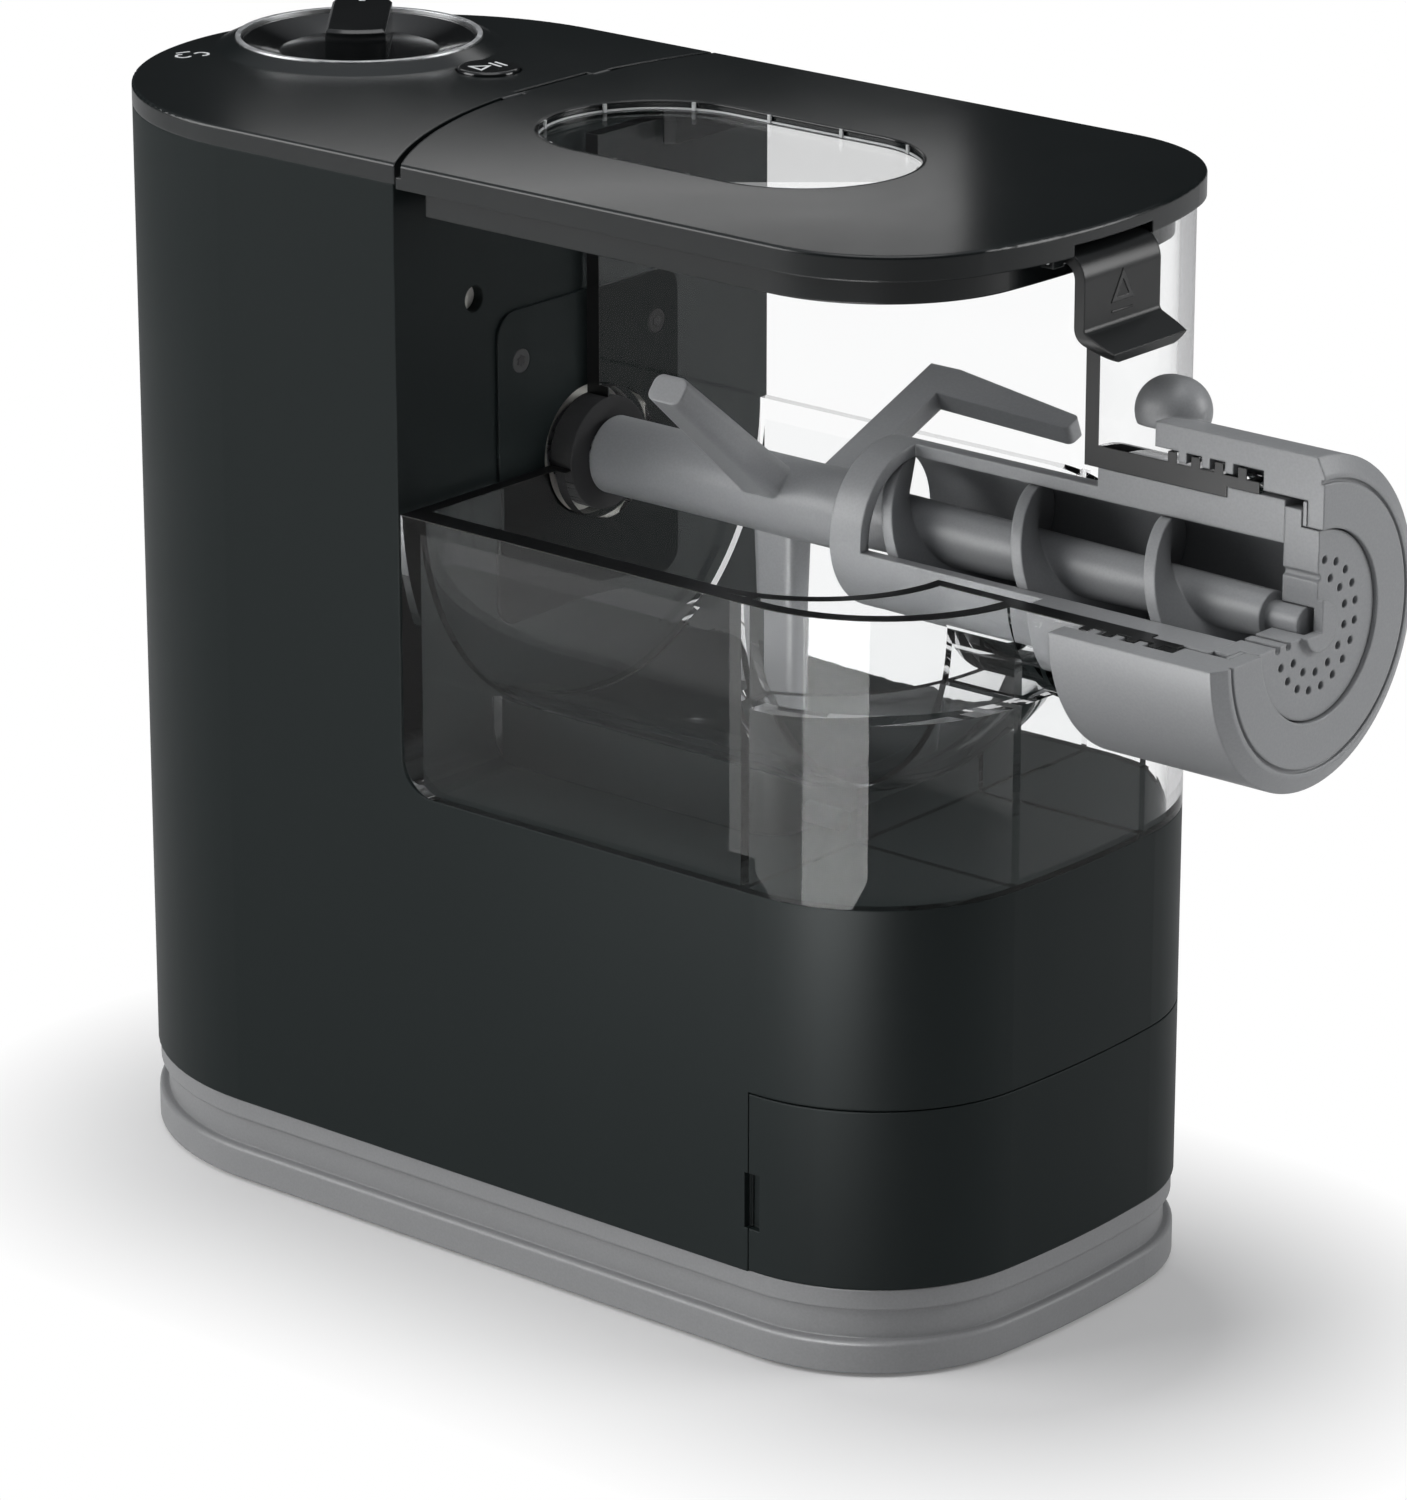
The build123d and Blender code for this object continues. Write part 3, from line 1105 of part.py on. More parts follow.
# ------------------------------------------------------------------ drive train
def gear(teeth, rear_x, front_x, z, phase):
    """Straight-toothed gear about an X axis; phase is one tooth's angle from +Y toward +Z."""
    pitch_radius = GEAR_MODULE * teeth / 2
    tip = pitch_radius + ADDENDUM * GEAR_MODULE
    root = pitch_radius - DEDENDUM * GEAR_MODULE
    points = []
    for index in range(teeth):
        middle = math.radians(phase + 360 * index / teeth)
        for radius, offset in ((root, -TOOTH_ROOT_HALF), (tip, -TOOTH_TIP_HALF),
                               (tip, TOOTH_TIP_HALF), (root, TOOTH_ROOT_HALF)):
            angle = middle + offset * GEAR_MODULE / radius
            points.append((rear_x, radius * math.cos(angle), z + radius * math.sin(angle)))
    face = make_face(Polyline(*points, close=True))
    return extrude(face, front_x - rear_x, dir=(1, 0, 0))


def output_gear():
    wheel = gear(OUTPUT_TEETH, OUTPUT_REAR_X, OUTPUT_FRONT_X, AXIS_Z, 0)
    wheel += rod_x(GEAR_HUB, OUTPUT_REAR_X - GEAR_SPACE / 2, OUTPUT_FRONT_X + GEAR_SPACE / 2)
    return wheel - rod_x(SHAFT_RADIUS, OUTPUT_REAR_X - GEAR_SPACE, OUTPUT_FRONT_X + GEAR_SPACE)


def idler_gear():
    phase = 180 / OUTPUT_TEETH * 2
    wheel = gear(SMALL_TEETH, LARGE_FRONT_X - OVER, OUTPUT_FRONT_X, IDLER_Z, phase)
    wheel += gear(LARGE_TEETH, LARGE_REAR_X, LARGE_FRONT_X, IDLER_Z, phase)
    bore = IDLER_SHAFT_RADIUS + RUNNING_FIT
    return wheel - rod_x(bore, LARGE_REAR_X - OVER, OUTPUT_FRONT_X + OVER, 0, IDLER_Z)


def idler_shaft():
    return rod_x(IDLER_SHAFT_RADIUS, MOTOR_FRONT_X, FRONT_PLATE_X, 0, IDLER_Z)


def drive_shaft():
    return rod_x(SHAFT_RADIUS, MOTOR_FRONT_X - GEAR_SPACE, CHAMBER_REAR_X - WALL)


def gearbox_plate(rear_x, low):
    plate = block(rear_x, rear_x + GEARBOX_PLATE, -GEARBOX_HALF, GEARBOX_HALF, low, AXIS_Z + GEARBOX_HALF)
    plate = fillet(plate.edges().filter_by(Axis.X), GEARBOX_ROUND)
    plate -= rod_x(BEARING_RADIUS, rear_x - OVER, rear_x + GEARBOX_PLATE + OVER)
    return plate - rod_x(IDLER_SHAFT_RADIUS, rear_x - OVER, rear_x + GEARBOX_PLATE + OVER, 0, IDLER_Z)


def gearbox_front_plate():
    return gearbox_plate(FRONT_PLATE_X - GEARBOX_PLATE, DECK_Z)


def gearbox_rear_plate():
    plate = gearbox_plate(MOTOR_FRONT_X, MOTOR_Z - MOTOR_RADIUS - GEARBOX_MARGIN)
    hole = MOTOR_SHAFT_RADIUS + GEAR_SPACE
    return plate - rod_x(hole, MOTOR_FRONT_X - OVER, REAR_PLATE_X + OVER, 0, MOTOR_Z)


def gearbox_posts():
    posts = []
    for z in (DECK_Z + POST_INSET, AXIS_Z + GEARBOX_HALF - POST_INSET):
        for side in (-1, 1):
            posts.append(rod_x(POST_RADIUS, REAR_PLATE_X, FRONT_PLATE_X - GEARBOX_PLATE, side * POST_Y, z))
    return posts


def shaft_bearings():
    bearings = []
    for rear in (MOTOR_FRONT_X, FRONT_PLATE_X - GEARBOX_PLATE):
        race = rod_x(BEARING_RADIUS, rear, rear + GEARBOX_PLATE)
        bearings.append(race - rod_x(SHAFT_RADIUS + RUNNING_FIT, rear, rear + GEARBOX_PLATE))
    return bearings


def motor_body():
    can = rod_x(MOTOR_RADIUS, MOTOR_REAR_X, MOTOR_FRONT_X, 0, MOTOR_Z)
    can = fillet(can.edges().group_by(Axis.X)[0], WALL)
    bore = MOTOR_SHAFT_RADIUS + RUNNING_FIT
    return can - rod_x(bore, MOTOR_REAR_X - OVER, MOTOR_FRONT_X + OVER, 0, MOTOR_Z)


def motor_shaft():
    phase = 180 / MOTOR_TEETH
    shaft = rod_x(MOTOR_SHAFT_RADIUS, FAN_REAR_X, LARGE_FRONT_X, 0, MOTOR_Z)
    return shaft + gear(MOTOR_TEETH, LARGE_REAR_X, LARGE_FRONT_X, MOTOR_Z, phase)


def motor_fan():
    front = FAN_REAR_X + FAN_WIDTH
    fan = rod_x(FAN_HUB, FAN_REAR_X, front, 0, MOTOR_Z)
    fan += rod_x(FAN_RADIUS, FAN_REAR_X, FAN_REAR_X + WALL / 2, 0, MOTOR_Z)
    blade = block(FAN_REAR_X, front, FAN_HUB - OVER, FAN_RADIUS, -WALL / 4, WALL / 4)
    for index in range(FAN_BLADES):
        fan += Pos(0, 0, MOTOR_Z) * Rot(360 * index / FAN_BLADES, 0, 0) * blade
    return fan - rod_x(MOTOR_SHAFT_RADIUS, FAN_REAR_X - OVER, front + OVER, 0, MOTOR_Z)


# ------------------------------------------------------------------ drawer
def drawer_front():
    low = BODY_LOW + SEAM
    front = slab(0, low, DRAWER_TOP) - slab(WALL, low - OVER, DRAWER_TOP + OVER)
    front &= block(DRAWER_X + SEAM, FAR, -FAR, FAR, low, DRAWER_TOP)
    return front - finger_notches()


def drawer_tray():
    high = TRAY_LOW + TRAY_HEIGHT
    outer = slab(WALL, TRAY_LOW, high) & tray_space(0, high)
    tray = outer - (slab(WALL + TRAY_WALL, TRAY_FLOOR, high + OVER) & tray_space(TRAY_WALL, high + OVER))
    rail_low = BODY_LOW + RUNNER_HEIGHT + RUNNER_DEPTH + PART_GAP
    for side in (-1, 1):
        near, far = sorted((side * TRAY_HALF_WIDTH, side * (TRAY_HALF_WIDTH + RAIL_REACH)))
        tray += block(TRAY_REAR_X, TRAY_REAR_X + RAIL_LENGTH, near, far, rail_low, rail_low + RAIL_DEPTH)
    return tray


def tray_space(inset, high):
    half = TRAY_HALF_WIDTH - inset
    return block(TRAY_REAR_X + inset, FAR, -half, half, TRAY_LOW, high)


def drawer_runners():
    inner = HALF_WIDTH - WALL
    low = BODY_LOW + RUNNER_HEIGHT
    runners = []
    for side in (-1, 1):
        near, far = sorted((side * (inner - RUNNER_REACH), side * inner))
        runners.append(block(RUNNER_REAR_X, DRAWER_X - WALL, near, far, low, low + RUNNER_DEPTH))
    return runners


def spare_discs():
    discs = []
    for side in (-1, 1):
        disc = rod_z(SPARE_RADIUS, SPARE_X, side * SPARE_Y, TRAY_FLOOR, TRAY_FLOOR + SPARE_THICKNESS)
        disc -= rod_z(DISC_BOSS_RADIUS, SPARE_X, side * SPARE_Y, TRAY_FLOOR + OVER, FAR)
        discs.append(disc)
    return discs


# ------------------------------------------------------------------ power
def power_inlet():
    face_x = REAR_X + INLET_RECESS
    half = INLET_WIDTH / 2
    low = INLET_Z - INLET_HEIGHT / 2
    inlet = block(face_x, face_x + INLET_DEPTH, -half, half, low, low + INLET_HEIGHT)
    wide = half - INLET_WALL
    socket = block(face_x - OVER, face_x + SOCKET_DEPTH, -wide, wide, low + INLET_WALL,
                   low + INLET_HEIGHT - INLET_WALL)
    return inlet - socket


def inlet_prongs():
    floor = REAR_X + INLET_RECESS + SOCKET_DEPTH
    prongs = []
    for y, z in ((-PRONG_SPACING, -PRONG_RISE), (0, PRONG_RISE), (PRONG_SPACING, -PRONG_RISE)):
        prongs.append(block(floor - PRONG_LENGTH, floor, y - PRONG_THICKNESS / 2, y + PRONG_THICKNESS / 2,
                            INLET_Z + z - PRONG_WIDTH / 2, INLET_Z + z + PRONG_WIDTH / 2))
    return prongs


def supply_board():
    high = SUPPLY_Z + BOARD_THICKNESS
    return block(SUPPLY_REAR_X, SUPPLY_FRONT_X, -SUPPLY_HALF, SUPPLY_HALF, SUPPLY_Z, high)


def supply_posts():
    posts = []
    for x in (SUPPLY_REAR_X + SUPPLY_POST_INSET, SUPPLY_FRONT_X - SUPPLY_POST_INSET):
        for side in (-1, 1):
            y = side * (SUPPLY_HALF - SUPPLY_POST_INSET)
            posts.append(rod_z(SUPPLY_POST_RADIUS, x, y, PLATE_TOP, SUPPLY_Z))
    return posts


def supply_coil():
    x = (SUPPLY_REAR_X + SUPPLY_FRONT_X) / 2
    return upright_box(x, -SUPPLY_HALF / 2, SUPPLY_Z + BOARD_THICKNESS, *COIL_SIZE)


def supply_capacitors():
    cans = []
    for x in (SUPPLY_REAR_X + CAPACITOR_INSET, SUPPLY_FRONT_X - CAPACITOR_INSET):
        low = SUPPLY_Z + BOARD_THICKNESS
        cans.append(rod_z(CAPACITOR_RADIUS, x, SUPPLY_HALF / 2, low, low + CAPACITOR_HEIGHT))
    return cans


# ------------------------------------------------------------------ parts
os.makedirs("parts", exist_ok=True)

save("body_shell", body_shell())
save("tower_plate", tower_plate())
save("tower_screws", *tower_screws())
save("base_plinth", base_plinth())
save("base_plate", base_plate())
save("base_screws", *base_screws())
save("rubber_feet", *rubber_feet())
save("rear_top_cover", rear_top_cover())
save("lid_hinge_pin", lid_hinge_pin())
save("dial_ring", dial_ring())
save("selector_dial", selector_dial())
save("dial_shaft", dial_shaft())
save("start_button", start_button())
save("control_board", control_board())
save("board_posts", *board_posts())
save("selector_switch", selector_switch())
save("start_switch", start_switch())
save("lid_switch", lid_switch())
save("lid_cover", lid_cover())
save("lid_window", lid_window())
save("lid_rim", lid_rim())
save("latch_pin", latch_pin())
save("lid_latch", lid_latch())
save("mixing_chamber", mixing_chamber())
save("chamber_seal", chamber_seal())
save("extruding_tube", extruding_tube())
save("shaping_disc", shaping_disc())
save("slip_washer", slip_washer())
save("locking_ring", locking_ring())
save("auger", auger())
save("mixing_paddle", mixing_paddle())
save("drive_coupling", drive_coupling())
save("drive_shaft", drive_shaft())
save("output_gear", output_gear())
save("idler_gear", idler_gear())
save("idler_shaft", idler_shaft())
save("gearbox_front_plate", gearbox_front_plate())
save("gearbox_rear_plate", gearbox_rear_plate())
save("gearbox_posts", *gearbox_posts())
save("shaft_bearings", *shaft_bearings())
save("motor_body", motor_body())
save("motor_shaft", motor_shaft())
save("motor_fan", motor_fan())
save("drawer_front", drawer_front())
save("drawer_tray", drawer_tray())
save("drawer_runners", *drawer_runners())
save("spare_discs", *spare_discs())
save("power_inlet", power_inlet())
save("inlet_prongs", *inlet_prongs())
save("supply_board", supply_board())
save("supply_posts", *supply_posts())
save("supply_coil", supply_coil())
save("supply_capacitors", *supply_capacitors())
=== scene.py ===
import json
import math

import bmesh
import bpy
from bpy.props import FloatProperty, FloatVectorProperty, IntProperty, PointerProperty
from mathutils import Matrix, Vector


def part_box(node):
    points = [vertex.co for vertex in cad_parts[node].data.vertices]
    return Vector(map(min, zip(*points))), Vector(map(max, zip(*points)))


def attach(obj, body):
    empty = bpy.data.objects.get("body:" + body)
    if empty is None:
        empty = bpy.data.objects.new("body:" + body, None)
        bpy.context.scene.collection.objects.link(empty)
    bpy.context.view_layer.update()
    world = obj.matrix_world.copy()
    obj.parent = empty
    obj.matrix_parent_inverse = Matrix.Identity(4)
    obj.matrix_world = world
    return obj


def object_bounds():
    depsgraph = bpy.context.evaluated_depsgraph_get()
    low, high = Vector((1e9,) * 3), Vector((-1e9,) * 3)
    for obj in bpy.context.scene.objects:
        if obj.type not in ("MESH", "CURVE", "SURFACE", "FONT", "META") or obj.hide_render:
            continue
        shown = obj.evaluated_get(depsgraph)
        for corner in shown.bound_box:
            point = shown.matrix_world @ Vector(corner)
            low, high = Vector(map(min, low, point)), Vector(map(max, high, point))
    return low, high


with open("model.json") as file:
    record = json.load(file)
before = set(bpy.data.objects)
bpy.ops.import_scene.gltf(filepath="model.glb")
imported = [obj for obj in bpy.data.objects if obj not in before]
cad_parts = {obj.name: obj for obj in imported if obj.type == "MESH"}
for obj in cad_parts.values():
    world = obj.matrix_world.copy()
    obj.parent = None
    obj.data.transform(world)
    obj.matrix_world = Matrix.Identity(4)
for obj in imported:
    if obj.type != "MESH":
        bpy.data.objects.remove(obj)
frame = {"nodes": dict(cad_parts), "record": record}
CAD_LOW, CAD_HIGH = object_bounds()

bl_info = {
    "name": "Pasta maker finish",
    "version": (1, 0, 0),
    "blender": (4, 5, 0),
    "location": "View3D > Sidebar > Pasta maker",
    "description": "Finishes, printed marks and stage for the sectioned pasta maker",
    "category": "Object",
}

# ------------------------------------------------------------------ places, in metres
# Read from the construction model.
WINDOW_LOW, WINDOW_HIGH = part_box("lid_window")
DIAL_LOW, DIAL_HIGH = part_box("selector_dial")
BUTTON_LOW, BUTTON_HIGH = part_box("start_button")
LATCH_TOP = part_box("lid_latch")[1].z
SCREWS_LOW, SCREWS_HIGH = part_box("tower_screws")
DRIVE_AXIS = sum(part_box("drive_shaft"), Vector()) / 2
LID_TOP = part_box("lid_cover")[1].z

# The window has two straight sides and two round ends.
WINDOW_MIDDLE = (WINDOW_LOW + WINDOW_HIGH) / 2
WINDOW_HALF = (WINDOW_HIGH.y - WINDOW_LOW.y) / 2
WINDOW_RUN = (WINDOW_HIGH.x - WINDOW_LOW.x) / 2 - WINDOW_HALF
WINDOW_SIDES = 96              # sides of the two round ends together

# Window trim, as shares of each bead's radius and of the clip's width.
BEZEL_SINK = 0.9               # how much of the bezel lies under the lid's top
SEAT_INSET = 1.2
SEAT_RISE = 0.6
CLIP_INSET = 0.75
CLIP_THICKNESS = 0.6
CLIP_TAPER = 0.2
CLIP_LEAN = 0.12

# Section paint.
CUT_TOLERANCE = 0.00005        # a face this near to a cut plane lies on it
MERGE_DISTANCE = 0.000002      # points this close are one

# Pointer dot: measured from the dial's axis.
POINTER_ANGLE = math.radians(130)
POINTER_REACH = 0.0158
POINTER_RADIUS = 0.0009
DOT_SIDES = 24

# Dot on the bevel round the dial: measured from the dial's axis, and above the cover's top.
BEVEL_DOT_ANGLE = math.radians(192)
BEVEL_DOT_REACH = 0.0343
BEVEL_DOT_RISE = 0.00072
BEVEL_DOT_RADIUS = 0.0012
BEVEL_SLOPE = math.atan2(0.0022, 0.0046)

# Curled noodle behind the dial: two open hoops and a tail.
CURL_PLACES = ((-0.1608, -0.0212), (-0.1588, -0.0168))
CURL_OPENINGS = (0.6, 3.7)     # angles where each hoop's opening starts
CURL_OPENING = 1.9             # and how far it reaches, in radians
CURL_RADIUS = 0.0021
CURL_SIDES = 28
TAIL_PLACE = (-0.1635, -0.0185)
TAIL_LENGTH = 0.0038
TAIL_TURN = math.radians(-20)

# Start and pause mark, as shares of the arrow's size.
ARROW_SETBACK = 0.75
PAUSE_LENGTH = 1.5
PAUSE_STEPS = (0.58, 1.12)
BUTTON_MARK_TURN = math.radians(-12)

# Latch mark: measured from the latch's top and from the arrow's middle.
LATCH_MARK_DROP = 0.0110
LATCH_BAR_DROP = 0.0046
LATCH_BAR_LENGTH = 1.6         # as a share of the arrow's size
LATCH_BAR_WIDTH = 0.0006
LATCH_STROKE = 0.0012

# Six-lobed screw sockets, filled black as painted shade of their hollows.
LOBES = 6
LOBE_WAIST = 0.72

SMOOTH_ANGLE = math.radians(35)
FACE_X = (math.pi / 2, 0.0, math.pi / 2)   # turns a flat shape to face along X

# ------------------------------------------------------------------ finish values
EDGE_SAMPLES = 6
EDGE_CONTRAST = 6.0            # how fast an edge's mask rises as its normal turns
FLECK_RATIO = 1.7              # flecks are this much finer than the grain
SPECKLE = 0.05                 # how far the speckle goes to either side of the colour
EDGE_WEAR_AND_HIGHLIGHT_SHARE = 0.55              # how much of the paler colour shows on an edge, as wear and painted highlight
ROUGHNESS_SPREAD = 0.05        # how far handling changes the roughness
GRAIN_STRENGTH = 0.25
PEEL_STRENGTH, PEEL_DEPTH = 0.12, 0.00001
CLEAR_IOR = 1.22
CLEAR_HAZE = 0.012

# ------------------------------------------------------------------ stage values
FLOOR_SIZE = 9.0
# The floor glows white far from a line under the machine. The glow fades out towards that line, so
# near it the floor shows its real shadow darkened by painted shade.
SHADE_SHIFT = 0.014            # how far the line lies towards the near side
SHADE_REACH = 0.090            # half the line's length
SHADE_FULL, SHADE_GONE = 0.055, 0.130
SHADE_WHITE = 0.12             # white already mixed in where the shading is full
FLOOR_IN_GLOSS = 0.12          # how much of that white gloss sees

# The world's strength for reflections, by the height they point at.
CEILING_START, CEILING_FULL = 0.45, 0.90
DARK_LOW, BRIGHT_HIGH = 0.025, 0.75
WORLD_FILL = 0.22

MACHINE_MIDDLE = ((CAD_LOW + CAD_HIGH) / 2).to_tuple()
NEAR_LID = (0.015, -0.068, LID_TOP)

# Name, place, aim, width, height and watts.
SOFT_BOXES = (
    ("key_light", (-0.85, -0.95, 0.62), MACHINE_MIDDLE, 0.9, 0.8, 14.0),
    ("nozzle_light", (1.10, 0.85, 0.60), MACHINE_MIDDLE, 0.7, 0.7, 9.5),
    ("top_light", (0.10, -0.10, 1.40), MACHINE_MIDDLE, 0.9, 0.9, 6.0),
    ("lid_light", (-0.128, 0.098, 0.330), NEAR_LID, 0.19, 0.024, 0.0175),
)
# Cards that only gloss sees, for the upright highlight on the chamber's near corner.
GLOSS_CARDS = (
    ("corner_light", (0.132, -0.240, 0.094), (0.132, -0.064, 0.094), 0.155, 0.10, 0.82),
    ("corner_fade", (-0.017, -0.240, 0.094), (-0.017, -0.064, 0.094), 0.145, 0.10, 0.20),
)

CAMERA_PLACE = (0.99065, -1.18080, 0.65430)
CAMERA_DIP = math.radians(19.113)
CAMERA_SWING = math.radians(40.267)
CAMERA_LENS = 161.0
CAMERA_SENSOR = 36.0


# ------------------------------------------------------------------ sizes and colours
class PastaMakerSizes(bpy.types.PropertyGroup):
    """Sizes of the dressing, in metres."""

    section_paint: FloatProperty(
        name="Section paint", description="Thickness of the black paint on the cut faces",
        default=0.0002, unit="LENGTH", subtype="DISTANCE")
    section_drop: FloatProperty(
        name="Section drop", description="How far the level cut lies under the drive axis",
        default=0.0016, unit="LENGTH", subtype="DISTANCE")
    bezel_radius: FloatProperty(
        name="Bezel radius", description="Radius of the bead round the window's opening",
        default=0.00035, unit="LENGTH", subtype="DISTANCE")
    seat_radius: FloatProperty(
        name="Seat radius", description="Radius of the pale bead at the pane's edge",
        default=0.00032, unit="LENGTH", subtype="DISTANCE")
    clip_count: IntProperty(
        name="Clips", description="Clips that hold the window, spread round its edge", default=12)
    clip_height: FloatProperty(
        name="Clip height", description="Height of a window clip",
        default=0.0021, unit="LENGTH", subtype="DISTANCE")
    clip_width: FloatProperty(
        name="Clip width", description="Width of a window clip",
        default=0.0010, unit="LENGTH", subtype="DISTANCE")
    print_depth: FloatProperty(
        name="Print depth", description="Thickness of the printed marks",
        default=0.00006, unit="LENGTH", subtype="DISTANCE")
    print_stroke: FloatProperty(
        name="Print stroke", description="Line width of the printed marks",
        default=0.0007, unit="LENGTH", subtype="DISTANCE")
    button_mark: FloatProperty(
        name="Button arrow", description="Size of the arrow on the button",
        default=0.0034, unit="LENGTH", subtype="DISTANCE")
    latch_mark: FloatProperty(
        name="Latch arrow", description="Size of the arrow on the latch",
        default=0.0050, unit="LENGTH", subtype="DISTANCE")
    socket_radius: FloatProperty(
        name="Screw socket", description="Radius of the six-lobed socket in a tower screw",
        default=0.0016, unit="LENGTH", subtype="DISTANCE")


class PastaMakerColours(bpy.types.PropertyGroup):
    """Colours of the dressing."""

    housing: FloatVectorProperty(
        name="Housing", description="Housing and drawer plastic", subtype="COLOR",
        default=(0.0095, 0.0135, 0.0135))
    cover: FloatVectorProperty(
        name="Covers", description="Top cover and lid plastic", subtype="COLOR",
        default=(0.0065, 0.0086, 0.0089))
    gloss: FloatVectorProperty(
        name="Gloss black", description="Dial, button and window trim", subtype="COLOR",
        default=(0.0045, 0.0052, 0.0055))
    latch: FloatVectorProperty(
        name="Latch", description="Latch plastic", subtype="COLOR",
        default=(0.0065, 0.0074, 0.0076))
    plinth: FloatVectorProperty(
        name="Plinth", description="Base plinth plastic", subtype="COLOR",
        default=(0.222, 0.224, 0.228))
    nozzle: FloatVectorProperty(
        name="Nozzle", description="Nozzle, auger and paddle plastic", subtype="COLOR",
        default=(0.262, 0.267, 0.274))
    clear: FloatVectorProperty(
        name="Clear plastic", description="Tint of the clear plastic", subtype="COLOR",
        default=(0.982, 0.985, 0.986))
    silver: FloatVectorProperty(
        name="Silver", description="Ring round the dial", subtype="COLOR",
        default=(0.74, 0.75, 0.76))
    printed: FloatVectorProperty(
        name="Print", description="Printed marks", subtype="COLOR",
        default=(0.72, 0.73, 0.74))
    section: FloatVectorProperty(
        name="Section paint", description="Paint on the chamber's cut faces", subtype="COLOR",
        default=(0.0045, 0.0048, 0.0050))
    floor: FloatVectorProperty(
        name="Floor", description="Studio floor", subtype="COLOR",
        default=(0.74, 0.735, 0.735))


def sizes():
    return bpy.context.scene.pasta_maker_sizes


def colours():
    return bpy.context.scene.pasta_maker_colours


# ------------------------------------------------------------------ shared effects
def effect_group(name, inputs, outputs):
    """New node group with its sockets, or the one already made under that name.

    Returns the group, its nodes, its input node and its output node. The last three are None
    where the group was already there.
    """
    group = bpy.data.node_groups.get(name)
    if group:
        return group, None, None, None
    group = bpy.data.node_groups.new(name, "ShaderNodeTree")
    for label, kind, value in inputs:
        socket = group.interface.new_socket(label, in_out="INPUT", socket_type=kind)
        socket.default_value = value
    for label, kind in outputs:
        group.interface.new_socket(label, in_out="OUTPUT", socket_type=kind)
    source = group.nodes.new("NodeGroupInput")
    sink = group.nodes.new("NodeGroupOutput")
    return group, group.nodes, source, sink


def maths(tree, operation, first, second):
    """Math node whose two values are sockets or plain numbers."""
    node = tree.nodes.new("ShaderNodeMath")
    node.operation = operation
    for slot, value in enumerate((first, second)):
        if isinstance(value, (int, float)):
            node.inputs[slot].default_value = value
        else:
            tree.links.new(value, node.inputs[slot])
    return node.outputs[0]


def soft_edge():
    """Rounds sharp edges in the shading and marks where they are."""
    group, nodes, source, sink = effect_group(
        "Soft edge", [("Radius", "NodeSocketFloat", 0.0006)],
        [("Normal", "NodeSocketVector"), ("Edge", "NodeSocketFloat")])
    if nodes is None:
        return group
    bevel = nodes.new("ShaderNodeBevel")
    bevel.samples = EDGE_SAMPLES
    group.links.new(source.outputs["Radius"], bevel.inputs["Radius"])
    place = nodes.new("ShaderNodeNewGeometry")
    dot = nodes.new("ShaderNodeVectorMath")
    dot.operation = "DOT_PRODUCT"
    group.links.new(bevel.outputs["Normal"], dot.inputs[0])
    group.links.new(place.outputs["True Normal"], dot.inputs[1])
    turned = maths(group, "SUBTRACT", 1.0, dot.outputs["Value"])
    edge = maths(group, "MULTIPLY", turned, EDGE_CONTRAST)
    edge.node.use_clamp = True
    group.links.new(bevel.outputs["Normal"], sink.inputs["Normal"])
    group.links.new(edge, sink.inputs["Edge"])
    return group


def moulded_grain():
    """Spark-eroded grain of a moulded surface, with a finer speckle."""
    group, nodes, source, sink = effect_group(
        "Moulded grain", [("Size", "NodeSocketFloat", 900.0)],
        [("Height", "NodeSocketFloat"), ("Speckle", "NodeSocketFloat")])
    if nodes is None:
        return group
    place = nodes.new("ShaderNodeTexCoord")
    pits = nodes.new("ShaderNodeTexNoise")
    pits.inputs["Detail"].default_value = 3.0
    pits.inputs["Roughness"].default_value = 0.62
    flecks = nodes.new("ShaderNodeTexVoronoi")
    finer = maths(group, "MULTIPLY", source.outputs["Size"], FLECK_RATIO)
    group.links.new(place.outputs["Object"], pits.inputs["Vector"])
    group.links.new(place.outputs["Object"], flecks.inputs["Vector"])
    group.links.new(source.outputs["Size"], pits.inputs["Scale"])
    group.links.new(finer, flecks.inputs["Scale"])
    group.links.new(pits.outputs["Fac"], sink.inputs["Height"])
    group.links.new(flecks.outputs["Distance"], sink.inputs["Speckle"])
    return group


def handling():
    """Broad soft patches where hands and cloths have polished the surface."""
    group, nodes, source, sink = effect_group(
        "Handling", [("Size", "NodeSocketFloat", 14.0)], [("Patch", "NodeSocketFloat")])
    if nodes is None:
        return group
    place = nodes.new("ShaderNodeTexCoord")
    cloud = nodes.new("ShaderNodeTexNoise")
    cloud.inputs["Detail"].default_value = 4.0
    cloud.inputs["Distortion"].default_value = 0.6
    group.links.new(place.outputs["Object"], cloud.inputs["Vector"])
    group.links.new(source.outputs["Size"], cloud.inputs["Scale"])
    group.links.new(cloud.outputs["Fac"], sink.inputs["Patch"])
    return group


def straight_through(tree, path):
    """1 for what is seen directly or only through clear plastic, else 0."""
    bounces = maths(tree, "ADD", path.outputs["Glossy Depth"], path.outputs["Diffuse Depth"])
    unbounced = maths(tree, "LESS_THAN", bounces, 0.5)
    straight = maths(tree, "MAXIMUM", path.outputs["Is Camera Ray"],
                     path.outputs["Is Transmission Ray"])
    return maths(tree, "MULTIPLY", straight, unbounced)


# ------------------------------------------------------------------ finishes
def blank_finish(name):
    """Empty node material with its Principled shader joined to the output."""
    finish = bpy.data.materials.new(name)
    finish.use_nodes = True
    finish.node_tree.nodes.clear()
    shader = finish.node_tree.nodes.new("ShaderNodeBsdfPrincipled")
    out = finish.node_tree.nodes.new("ShaderNodeOutputMaterial")
    finish.node_tree.links.new(shader.outputs[0], out.inputs["Surface"])
    return finish, finish.node_tree, shader, out


